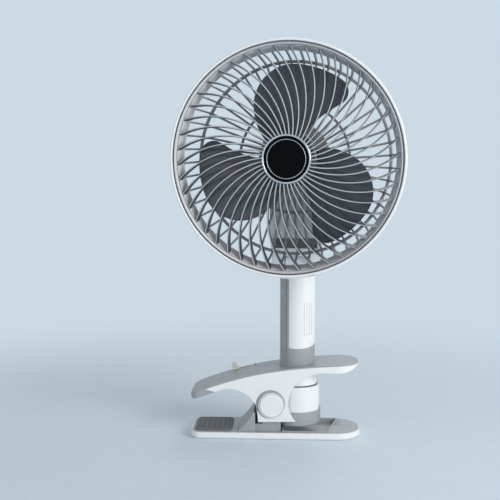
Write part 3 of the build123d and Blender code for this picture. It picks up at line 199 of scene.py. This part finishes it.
def polar(radius, degrees):
    """Plan point at a radius and an angle."""
    angle = np.radians(degrees)
    return np.stack((radius * np.cos(angle), radius * np.sin(angle)), -1)


def bar(line, wide, deep, section, lean=0.0):
    """Bar along a line of points: at each point the section, given as shares of half the width
    and half the depth, is laid across the line. Both ends are drawn together to a point."""
    along = np.gradient(line, axis=0)
    along /= np.linalg.norm(along, axis=1, keepdims=True)
    outward = np.array((0.0, 0.0, 1.0)) if np.isscalar(lean) else lean
    across = np.cross(along, outward)
    across /= np.linalg.norm(across, axis=1, keepdims=True)
    inward = np.cross(across, along)
    half_wide = np.broadcast_to(wide, len(line))[:, None, None] / 2
    half_deep = np.broadcast_to(deep, len(line))[:, None, None] / 2
    grid = (line[:, None] + across[:, None] * half_wide * section[None, :, :1]
            + inward[:, None] * half_deep * section[None, :, 1:])
    ends = grid.mean(1, keepdims=True) + 0 * grid
    return np.concatenate((ends[:1], grid, ends[-1:])), False, True


def around(surface, count, phase=0.0):
    """Copies of a surface at even turns about the axis."""
    grid, wrap_rows, wrap_columns = surface
    copies = []
    for angle in math.radians(phase) + np.arange(count) * 2 * math.pi / count:
        cosine, sine = math.cos(angle), math.sin(angle)
        turn = np.array(((cosine, sine, 0), (-sine, cosine, 0), (0, 0, 1)))
        copies.append((grid @ turn, wrap_rows, wrap_columns))
    return copies


def oval(steps, squareness, taper=0.0):
    """Section of a moulded bar: a superellipse, narrower towards its back by a share."""
    angle = np.linspace(0, 2 * math.pi, steps, endpoint=False) + math.pi / steps
    cosine, sine = np.cos(angle), np.sin(angle)
    wide = np.sign(cosine) * np.abs(cosine) ** squareness
    deep = np.sign(sine) * np.abs(sine) ** squareness
    return np.stack((wide * (1 - taper * (1 - deep) / 2), deep), -1)


def smooth_loop(marks, steps):
    """Closed curve through marks: each span is a cubic whose slopes are half the step between
    the marks on either side."""
    marks = np.asarray(marks, float)
    before, after, beyond = np.roll(marks, 1, 0), np.roll(marks, -1, 0), np.roll(marks, -2, 0)
    share = (np.arange(steps) / steps)[None, :, None]
    first, second = (after - before)[:, None] / 2, (beyond - marks)[:, None] / 2
    here, there = marks[:, None], after[:, None]
    curve = (here * (1 - 3 * share ** 2 + 2 * share ** 3) + there * (3 * share ** 2 - 2 * share ** 3)
             + first * (share - 2 * share ** 2 + share ** 3) + second * (share ** 3 - share ** 2))
    return curve.reshape(-1, marks.shape[1])


# ---- finishes -------------------------------------------------------------------------------
def node(tree, kind, inputs=None, **settings):
    """Adds a shader node; an input is a value or another node's output."""
    made = tree.nodes.new("ShaderNode" + kind)
    for key, value in settings.items():
        setattr(made, key, value)
    for key, value in (inputs or {}).items():
        if isinstance(value, bpy.types.NodeSocket):
            tree.links.new(value, made.inputs[key])
        else:
            made.inputs[key].default_value = value
    return made


def spread(tree, value, low, high, from_low=0.3, from_high=0.7):
    """A noise value spread over a range."""
    inputs = {"Value": value, "From Min": from_low, "From Max": from_high, "To Min": low, "To Max": high}
    return node(tree, "MapRange", inputs).outputs["Result"]


def figure(tree, operation, first, second, **settings):
    """A sum, product or other figure of two values or outputs."""
    return node(tree, "Math", {0: first, 1: second}, operation=operation, **settings).outputs["Value"]


def noise(tree, place, scale, detail, **inputs):
    """Noise at a scale per metre."""
    inputs = {"Vector": place, "Scale": scale, "Detail": detail, **inputs}
    return node(tree, "TexNoise", inputs).outputs["Fac"]


def tint(tree, share, first, second):
    """Mixes two colours, or a colour and an output."""
    return node(tree, "Mix", {0: share, 6: first, 7: second}, data_type="RGBA").outputs[2]


def shade(colour, factor):
    """A colour made lighter or darker."""
    return tuple(min(1.0, part * factor) for part in colour) + (1.0,)


def paler(colour, step):
    """A colour with a step of white added."""
    return tuple(part + step for part in colour) + (1.0,)


def blank(name):
    """A new material with its shader."""
    material = bpy.data.materials.new(name)
    material.use_nodes = True
    tree = material.node_tree
    shader = tree.nodes["Principled BSDF"]
    return material, tree, shader


def skin(tree, shader, height, relief, edge):
    """Surface relief over edges that are eased by a radius, and a mask of those edges."""
    eased = node(tree, "Bevel", {"Radius": edge / 1000}, samples=4).outputs["Normal"]
    bump = node(tree, "Bump", {"Height": height, "Distance": relief / 1000, "Strength": 1.0, "Normal": eased})
    tree.links.new(bump.outputs["Normal"], shader.inputs["Normal"])
    flat = node(tree, "NewGeometry").outputs["Normal"]
    turn = node(tree, "VectorMath", {0: eased, 1: flat}, operation="DOT_PRODUCT").outputs["Value"]
    return spread(tree, turn, 1.0, 0.0, 0.82, 0.99)


def moulded(name, colour, rough=0.38, grain=0.35, relief=0.006, edge=0.35, wear=0.35, coat=0.0, mottle=0.04,
            specular=0.5, painted_shade_flanks=None):
    """Moulded plastic: slow flow marks in colour and gloss, a fine eroded grain, and edges that
    are rubbed a little paler. A flanks colour, if given, is painted shade on what doesn't face forward."""
    material, tree, shader = blank(name)
    place = node(tree, "TexCoord").outputs["Object"]
    flow = noise(tree, place, 18.0, 4.0, Distortion=0.6)
    cloud = noise(tree, place, 160.0, 3.0)
    fine = noise(tree, place, 1000 / grain, 2.0)
    edges = skin(tree, shader, fine, relief, edge)
    body = tint(tree, spread(tree, flow, 0.0, 1.0), shade(colour, 1 - mottle), shade(colour, 1 + mottle / 2))
    # Painted shade: faces that don't look forward, such as the sides of the spokes' fins, get a dark colour
    # in place of the shade that falls on them.
    if painted_shade_flanks:
        inner = node(tree, "TexCoord").outputs["Normal"]
        facing = node(tree, "VectorMath", {0: inner, 1: FORWARD}, operation="DOT_PRODUCT").outputs["Value"]
        body = tint(tree, spread(tree, facing, 0.0, 1.0, 0.35, 0.8), shade(painted_shade_flanks, 1.0), body)
    rub = figure(tree, "MULTIPLY", edges, spread(tree, cloud, 0.2, wear))
    worn = tint(tree, rub, body, shade(tuple(0.5 * part + 0.45 for part in colour), 1.0))
    tree.links.new(worn, shader.inputs["Base Color"])
    gloss = figure(tree, "ADD", spread(tree, cloud, rough - 0.04, rough + 0.05),
                   spread(tree, flow, -0.03, 0.03))
    tree.links.new(gloss, shader.inputs["Roughness"])
    shader.inputs["IOR"].default_value = 1.49
    shader.inputs["Specular IOR Level"].default_value = specular
    shader.inputs["Coat Weight"].default_value = coat
    shader.inputs["Coat Roughness"].default_value = 0.08
    return material


def metal(name, colour, rough=0.3, lines=(1, 1, 1), edge=0.2):
    """Bare or plated metal: fine lines drawn along one direction, and small stains in its gloss."""
    material, tree, shader = blank(name)
    place = node(tree, "TexCoord").outputs["Object"]
    drawn = node(tree, "Mapping", {"Vector": place, "Scale": lines}).outputs["Vector"]
    marks = noise(tree, drawn, 900.0, 3.0)
    stains = noise(tree, place, 90.0, 4.0)
    edges = skin(tree, shader, marks, 0.004, edge)
    body = tint(tree, spread(tree, stains, 0.0, 1.0), shade(colour, 0.86), shade(colour, 1.0))
    tree.links.new(tint(tree, edges, body, shade(colour, 1.15)), shader.inputs["Base Color"])
    tree.links.new(spread(tree, stains, rough - 0.06, rough + 0.08), shader.inputs["Roughness"])
    shader.inputs["Metallic"].default_value = 1.0
    return material


def soft_rubber(name, colour):
    """Soft rubber: a stippled skin with paler dust in it."""
    material, tree, shader = blank(name)
    place = node(tree, "TexCoord").outputs["Object"]
    stipple = node(tree, "TexVoronoi", {"Vector": place, "Scale": 1400.0}).outputs["Distance"]
    dust = noise(tree, place, 120.0, 6.0)
    edges = skin(tree, shader, stipple, 0.05, 0.4)
    body = tint(tree, spread(tree, dust, 0.0, 0.35), shade(colour, 1.0), paler(colour, 0.08))
    tree.links.new(tint(tree, edges, body, paler(colour, 0.06)), shader.inputs["Base Color"])
    tree.links.new(spread(tree, dust, 0.7, 0.9), shader.inputs["Roughness"])
    return material


def wound(name, colour, pitch):
    """Enamelled wire or printed traces: fine parallel ridges with a dark gap between them."""
    material, tree, shader = blank(name)
    place = node(tree, "TexCoord").outputs["Object"]
    ridges = node(tree, "TexWave", {"Vector": place, "Scale": 1000 / pitch, "Distortion": 1.5, "Detail": 2.0},
                  bands_direction="DIAGONAL").outputs["Fac"]
    skin(tree, shader, ridges, 0.05, 0.2)
    tree.links.new(tint(tree, ridges, shade(colour, 0.4), shade(colour, 1.2)), shader.inputs["Base Color"])
    tree.links.new(spread(tree, ridges, 0.5, 0.3, 0.0, 1.0), shader.inputs["Roughness"])
    return material


FINISHES = {
    "white_plastic": moulded("white_moulding", (0.86, 0.875, 0.885), 0.34, mottle=0.02, coat=0.05),
    "grey_plastic": moulded("grey_moulding", (0.365, 0.385, 0.405), 0.40, grain=0.45, relief=0.01, edge=0.45),
    "silver_plastic": moulded("silver_grey_moulding", (0.42, 0.44, 0.47), 0.36, grain=0.3, edge=0.3,
                              wear=0.4, coat=0.05),
    "dark_plastic": moulded("slate_moulding", (0.046, 0.053, 0.067), 0.30, grain=0.6, edge=0.5,
                            wear=0.12, coat=0.6),
    "black_gloss": moulded("gloss_black_moulding", (0.002, 0.002, 0.0025), 0.12, relief=0.001, edge=0.3,
                           wear=0.02, specular=0.06),
    "ivory_plastic": moulded("ivory_moulding", (0.62, 0.64, 0.60), 0.38, edge=0.5),
    "black_plastic": moulded("black_moulding", (0.022, 0.022, 0.025), 0.5, relief=0.012, edge=0.2, wear=0.1),
    "rubber": soft_rubber("dark_rubber", (0.13, 0.14, 0.15)),
    "silver_metal": metal("bright_satin_ring", (0.66, 0.68, 0.71), 0.28),
    "steel": metal("zinc_plated_steel", (0.50, 0.51, 0.52), 0.34, lines=(1, 1, 6)),
    "brass": metal("sintered_bronze", (0.50, 0.36, 0.16), 0.45),
    "magnet": moulded("ferrite", (0.03, 0.03, 0.033), 0.6, grain=0.2, relief=0.02, wear=0.1),
    "copper": wound("enamelled_windings", (0.36, 0.14, 0.05), 0.5),
    "cell_wrap": moulded("cell_sleeve", (0.03, 0.10, 0.24), 0.28, relief=0.004, coat=0.3),
    "board_green": wound("solder_mask", (0.01, 0.09, 0.03), 1.6),
}

# Spokes with painted shade: the sides of the fins are coloured dark, and their front edges keep the light
# colour.
SPOKE_FINISH = moulded("spoke_moulding_painted_shade", (0.50, 0.52, 0.55), 0.34, grain=0.3, edge=0.2, wear=0.4,
                        painted_shade_flanks=(0.05, 0.06, 0.075))
BAND_FINISH = moulded("band_moulding", (0.70, 0.71, 0.74), 0.34, grain=0.3, edge=0.3, wear=0.3, coat=0.05)
# Painted shadow: a dark grey finish for the ring that stands in for the shade inside the rim's groove.
GROOVE_SHADOW_FINISH = moulded("painted_groove_shadow", (0.12, 0.125, 0.135), 0.45, grain=0.3, edge=0.1, wear=0.2)
REAR_FINISH = moulded("rear_cage_moulding", (0.27, 0.28, 0.295), 0.42, grain=0.3, edge=0.3, wear=0.3)

for part in frame["record"]["subparts"]:
    node_mesh = frame["nodes"][part["node"]].data
    node_mesh.materials.clear()
    node_mesh.materials.append(FINISHES[part["material_slot"]])


# ---- cage: rim, band, spokes and hub --------------------------------------------------------
def rim():
    """White outer ring: a profile with a full round front lip and a step behind the groove."""
    corners = [(RIM_RADIUS, RIM_DEPTH), (RIM_RADIUS, 0), (GROOVE_RADIUS, 0), (GROOVE_RADIUS, GROOVE_DEPTH),
               (RIM_INNER, GROOVE_DEPTH), (RIM_INNER, RIM_DEPTH)]
    return turned(rounded(corners, [0.5, 1.1, 1.1, 0.2, 0.2, 0.3], 7), 320)


def groove():
    """Dark ring of painted shadow on the step between the rim and the band."""
    outer, back, front = GROOVE_RADIUS - 0.05, GROOVE_DEPTH + 0.1, 1.5
    corners = [(outer, back), (outer, front), (RIM_INNER, front), (RIM_INNER, back)]
    return turned(rounded(corners, 0.15, 4), 320)


def band():
    """Sloping band inside the rim: a thin cone with eased lips."""
    outer, wall = BAND_RADIUS, BAND_RADIUS - 1.8
    corners = [(outer - 0.5, 0.5), (outer, 0.9), (outer, BAND_SKIRT), (wall, BAND_SKIRT), (wall, 4.1),
               (BAND_INNER, BAND_DEPTH), (BAND_INNER, BAND_DEPTH - 1.8)]
    return turned(rounded(corners, [0.3, 0.2, 0.3, 0.3, 0.3, 0.7, 0.7], 5), 320)


def spoke():
    """Curved spoke: an arc swept round with radius. Its front edge dips slowly outwards, and its
    fin leans over and grows deeper towards the band, where its front runs out in a point."""
    plan = arc_through([polar(r, t) for r, t in zip(SPOKE_RADII, SPOKE_TURNS)], 40)
    radius = np.linalg.norm(plan, axis=1)
    reach = (radius - radius[0]) / (radius[-1] - radius[0])
    front = SPOKE_FRONT[0] + SPOKE_FRONT[1] * reach + SPOKE_FRONT[2] * reach ** 3
    last = np.clip((reach - SPOKE_GAIN_START) / (1 - SPOKE_GAIN_START), 0, 1)
    fin = SPOKE_FIN[0] + SPOKE_FIN[1] * reach + SPOKE_FIN[2] * last ** 1.5
    turn = np.radians(SPOKE_LEAN[0] + (SPOKE_LEAN[1] - SPOKE_LEAN[0]) * np.minimum(1, 2 * reach))[:, None]
    sideways = np.stack((plan[:, 1], -plan[:, 0]), -1) / radius[:, None]
    lean = np.concatenate((sideways * np.sin(turn), np.cos(turn)), 1)
    line = np.concatenate((plan, -front[:, None]), 1) - lean * fin[:, None] / 2
    wide = SPOKE_WIDTH * (1.0 - 0.12 * reach)
    return bar(line, wide, fin, oval(14, 0.75, 0.35), lean=lean)


def hub_cup():
    """Cup behind the hub's face."""
    corners = [(0, 3.1), (HUB_RADIUS - 0.2, 3.1), (HUB_RADIUS, 9.0), (HUB_WALL, 9.0), (HUB_WALL - 0.4, 5.0),
               (0, 5.0)]
    return turned(rounded(corners, [0, 0.3, 0.8, 0.5, 0.5, 0], 5, closed=False), 160, closed=False)


def hub_bezel():
    """Bright ring round the hub: it stands a little proud, with full round front edges."""
    corners = [(HUB_RADIUS, 3.0), (HUB_RADIUS, -0.7), (HUB_WALL, -0.7), (HUB_WALL, 3.0)]
    return turned(rounded(corners, [0.2, 0.8, 0.8, 0.2], 7), 160)


def hub_face():
    """Black face of the hub, a little crowned, with the trough of the inlaid line."""
    inner, outer = LINE_RADIUS - LINE_HALF, LINE_RADIUS + LINE_HALF
    corners = [(0, 0.15), (inner - 0.18, 0.28), (inner, 0.6), (outer, 0.6), (outer + 0.18, 0.3),
               (HUB_FACE, 0.35), (HUB_FACE, 3.0), (0, 3.0)]
    return turned(rounded(corners, [0, 0.1, 0.1, 0.1, 0.1, 0.3, 0.1, 0], 5, closed=False), 160, closed=False)


def hub_inlay():
    """Thin bright ring in the trough of the hub's face."""
    inner, outer = LINE_RADIUS - LINE_HALF, LINE_RADIUS + LINE_HALF
    corners = [(inner, 0.7), (inner, 0.3), (outer, 0.3), (outer, 0.7)]
    return turned(rounded(corners, [0.02, 0.12, 0.12, 0.02], 4), 160)


piece("rim_ring", [rim()], "head", "white_plastic", ["rim_trim"])
# Painted shadow: a dark ring laid in the rim's groove.
piece("rim_groove_painted_shadow", [groove()], "head", "silver_plastic", finish=GROOVE_SHADOW_FINISH)
piece("cage_band", [band()], "head", "silver_plastic", ["front_grille"], finish=BAND_FINISH)
piece("cage_spokes", around(spoke(), SPOKES, SPOKE_START), "head", "silver_plastic", finish=SPOKE_FINISH)
piece("hub_cup", [hub_cup()], "head", "silver_plastic")
piece("hub_bezel", [hub_bezel()], "head", "silver_metal", ["hub_ring"])
piece("hub_face", [hub_face()], "head", "black_gloss", ["hub_disc"])
piece("hub_inlay", [hub_inlay()], "head", "silver_metal", ["hub_line"])


# ---- rear cage ------------------------------------------------------------------------------
def flat_ring(outer, inner, front, back, ease):
    """Ring of rectangular section with eased edges."""
    corners = [(outer, back), (outer, front), (inner, front), (inner, back)]
    return turned(rounded(corners, ease, 4), 240)


def back_rib():
    """Rib of the cage's back, swept a little as it runs out to the ring."""
    start, middle = REAR_RIB_RADII
    plan = arc_through([polar(start, 0), polar(middle, REAR_TURN / 2), polar(REAR_RING, REAR_TURN)], 14)
    depth = np.full((len(plan), 1), -(REAR_DEPTH + 1.4))
    return bar(np.concatenate((plan, depth), 1), *BACK_RIB, oval(10, 0.6, 0.3))


def wall_rib():
    """Rib of the cage's side, from the front flange back to the ring and round its corner."""
    share = np.linspace(0, 1, 16)
    start, first_depth, last_depth = REAR_COLLAR + 1.6, REAR_COLLAR_DEPTHS[0] + 0.5, REAR_DEPTH + 2.0
    radius = start + (REAR_RING - start) * share ** 1.5
    plan = polar(radius, REAR_TURN + 0.6 * (1 - share))
    depth = first_depth + (last_depth - first_depth) * share
    line = np.concatenate((plan, -depth[:, None]), 1)
    radial = np.concatenate((plan / radius[:, None], np.zeros((len(plan), 1))), 1)
    return bar(line, *WALL_RIB, oval(10, 0.6, 0.2), lean=radial)


def rear_cage():
    """Front flange, two rings, the motor's plate, and the ribs of the cage's side and back."""
    depths = (REAR_DEPTH, REAR_DEPTH + REAR_THICKNESS)
    rings = [flat_ring(REAR_COLLAR_EDGE, REAR_COLLAR, *REAR_COLLAR_DEPTHS, 0.6),
             flat_ring(REAR_RING + 1.5, REAR_RING - 1.5, *depths, 0.9),
             flat_ring(REAR_SMALL_RING + 1.2, REAR_SMALL_RING - 1.2, *depths, 0.8),
             flat_ring(REAR_PLATE, REAR_BORE, *depths, 0.5)]
    return rings + around(back_rib(), REAR_RIBS) + around(wall_rib(), REAR_RIBS)


piece("rear_cage", rear_cage(), "head", "silver_plastic", ["rear_grille"], finish=REAR_FINISH)


# ---- blades ---------------------------------------------------------------------------------
def blade():
    """One blade: shares from its middle to its edge, once over the front and once over the back.
    It twists from root to tip, is crowned along its breadth, and thins towards its edge."""
    marks = [(20.7, -12.5), (27.2, -17.4), (33.2, -22.9), (38.6, -29.0), (43.4, -35.5), (47.6, -42.5),
             (52.2, -49.1), (59.6, -52.0), (67.4, -50.1), (72.7, -44.0), (76.6, -36.9), (79.8, -29.4),
             (82.2, -21.7), (83.9, -13.7), (84.8, -5.6), (84.3, 2.4), (81.8, 10.2), (77.4, 17.1),
             (71.8, 23.0), (65.0, 27.4), (57.4, 30.3), (49.4, 31.5), (41.3, 31.1), (33.3, 29.4),
             (25.7, 26.5), (18.7, 22.4), (16.8, 17.4), (21.6, 10.9), (24.0, 3.2), (23.7, -4.9)]
    edge = smooth_loop(marks, 5)
    middle = np.array(BLADE_MIDDLE)
    share = np.sin(np.linspace(0, math.pi / 2, 16))
    share = np.concatenate((share, share[-2::-1]))
    side = np.concatenate((np.ones(16), -np.ones(15)))
    plan = middle + share[:, None, None] * (edge - middle)[None]
    across, along = plan[..., 1], plan[..., 0]
    slope = BLADE_SLOPES[0] + (BLADE_SLOPES[1] - BLADE_SLOPES[0]) * along / BLADE_TIP
    crown = BLADE_CROWN * (1 - (across / BLADE_HALF) ** 2)
    thick = BLADE_SKIN[0] + BLADE_SKIN[1] * np.sqrt(np.clip(1 - share ** 6, 0, 1))
    thick[share >= 1] = 0
    height = slope * across + crown - BLADE_DEPTH + (side * thick)[:, None]
    return np.concatenate((plan, height[..., None]), 2), False, True


def blade_hub():
    """Round hub of the blades, open at its back, with the shaft's boss inside."""
    front, back = BLADE_HUB_DEPTHS
    inner, floor_depth = BLADE_HUB - BLADE_HUB_WALL, front + BLADE_HUB_WALL
    corners = [(0, front), (BLADE_HUB, front), (BLADE_HUB, back), (inner, back), (inner, floor_depth),
               (BLADE_BOSS, floor_depth), (BLADE_BOSS, back), (0, back)]
    return turned(rounded(corners, [0, 3.0, 0.6, 0.5, 1.5, 0.8, 0.5, 0], 6, closed=False), 160, closed=False)


piece("blades", around(blade(), BLADES, 90.0), "rotor", "dark_plastic", ["fan_blade"], crease=60.0)
piece("blade_hub", [blade_hub()], "rotor", "dark_plastic")


# ---- clamp ----------------------------------------------------------------------------------
def finger_ridge(first, last):
    """Low ridge on the lower handle's cover, half sunk in it."""
    share = np.linspace(0, 1, 12)[:, None]
    plan = np.array(first) * (1 - share) + np.array(last) * share
    return bar(np.concatenate((plan, np.full((12, 1), COVER_TOP)), 1), *RIDGE, oval(12, 0.8))


piece("finger_ridges", [finger_ridge((38.6, 3.0), (43.0, 22.0)), finger_ridge((41.3, 3.0), (44.4, 17.0))],
      "clamp_base", "grey_plastic", place=same_place)


# ---- room, light and camera -----------------------------------------------------------------
BACKDROP = (0.60, 0.70, 0.78, 1.0)
DAYLIGHT = (0.97, 0.985, 1.0, 1.0)
CAMERA_PLACE = (0.00043, -0.96696, 0.28098)
CAMERA_TILT = 5.794          # degrees below the horizontal
CAMERA_TURN = 2.808          # degrees to the left of straight ahead
LENS = 71.23


def seen_plainly(tree):
    """1 for rays from the camera, or that a mirror or a clear part sends on."""
    path = node(tree, "LightPath").outputs
    first = figure(tree, "ADD", path["Is Camera Ray"], path["Is Glossy Ray"])
    return figure(tree, "ADD", first, path["Is Transmission Ray"], use_clamp=True)


def room():
    """Pale world: plain light on the object, and one even backdrop colour where it is seen."""
    world = bpy.data.worlds.new("studio")
    bpy.context.scene.world = world
    world.use_nodes = True
    tree = world.node_tree
    tree.nodes.clear()
    light = node(tree, "Background", {"Color": DAYLIGHT, "Strength": 0.40}).outputs["Background"]
    view = node(tree, "Background", {"Color": BACKDROP, "Strength": 1.0}).outputs["Background"]
    mixed = node(tree, "MixShader", {0: seen_plainly(tree), 1: light, 2: view}).outputs["Shader"]
    node(tree, "OutputWorld", {"Surface": mixed})


def floor():
    """Round floor under the object: matt near it, and the plain backdrop colour further away."""
    angle = np.linspace(0, 2 * math.pi, 96, endpoint=False)[:, None]
    radius = np.array((0.0, 0.3, 0.8, 1.6, 4.0))[None]
    points = np.stack((radius * np.cos(angle), radius * np.sin(angle), 0 * radius * angle), -1).reshape(-1, 3)
    mesh = bpy.data.meshes.new("floor")
    mesh.from_pydata(points.tolist(), [], grid_faces(96, 5, True, False, 0).tolist())
    shape = bmesh.new()
    shape.from_mesh(mesh)
    bmesh.ops.remove_doubles(shape, verts=shape.verts, dist=1e-6)
    for surface in shape.faces:
        surface.normal_update()
        if surface.normal.z < 0:
            surface.normal_flip()
    shape.to_mesh(mesh)
    shape.free()
    made = bpy.data.objects.new("floor", mesh)
    bpy.context.scene.collection.objects.link(made)
    material, tree, shader = blank("floor_paint")
    place = node(tree, "TexCoord").outputs["Object"]
    cloud = noise(tree, place, 60.0, 5.0)
    tree.links.new(tint(tree, spread(tree, cloud, 0, 1), (0.70, 0.81, 0.90, 1), (0.72, 0.83, 0.92, 1)),
                   shader.inputs["Base Color"])
    shader.inputs["Roughness"].default_value = 0.75
    shader.inputs["Specular IOR Level"].default_value = 0.2
    distance = node(tree, "VectorMath", {0: place}, operation="LENGTH").outputs["Value"]
    far = node(tree, "MapRange", {"Value": distance, "From Min": 0.22, "From Max": 0.75},
               interpolation_type="SMOOTHSTEP")
    share = figure(tree, "MULTIPLY", far.outputs["Result"], seen_plainly(tree))
    glow = node(tree, "Emission", {"Color": BACKDROP, "Strength": 1.0}).outputs["Emission"]
    mixed = node(tree, "MixShader", {0: share, 1: shader.outputs["BSDF"], 2: glow}).outputs["Shader"]
    tree.links.new(mixed, tree.nodes["Material Output"].inputs["Surface"])
    mesh.materials.append(material)


def lamp(name, place, aim, size, watts, colour=(1, 1, 1)):
    """Soft square lamp that faces a point."""
    light = bpy.data.lights.new(name, "AREA")
    light.size = size
    light.energy = watts
    light.color = colour
    made = bpy.data.objects.new(name, light)
    way = np.subtract(aim, place)
    made.location = place
    tilt = math.atan2(math.hypot(way[0], way[1]), -way[2])
    made.rotation_euler = (tilt, 0, math.atan2(way[1], way[0]) - math.pi / 2)
    made.visible_camera = False
    bpy.context.scene.collection.objects.link(made)


def camera():
    """Camera where the photograph was taken from, fitted on the cage's circles and the clamp."""
    lens = bpy.data.cameras.new("camera")
    lens.lens = LENS
    lens.sensor_width = 36.0
    made = bpy.data.objects.new("camera", lens)
    made.location = CAMERA_PLACE
    made.rotation_euler = (math.radians(90 - CAMERA_TILT), 0, math.radians(CAMERA_TURN))
    bpy.context.scene.collection.objects.link(made)
    bpy.context.scene.camera = made


room()
floor()
camera()
lamp("key", (1.2, -1.1, 0.68), (0, 0, 0.18), 0.9, 19.5, (1.0, 0.985, 0.96))
lamp("fill", (-1.2, -1.1, 0.7), (0, 0, 0.18), 1.4, 3.0, (0.95, 0.98, 1.0))
lamp("back", (0.3, 1.2, 1.0), (0, 0, 0.22), 0.8, 4.0)
bpy.context.scene.view_settings.view_transform = "Standard"
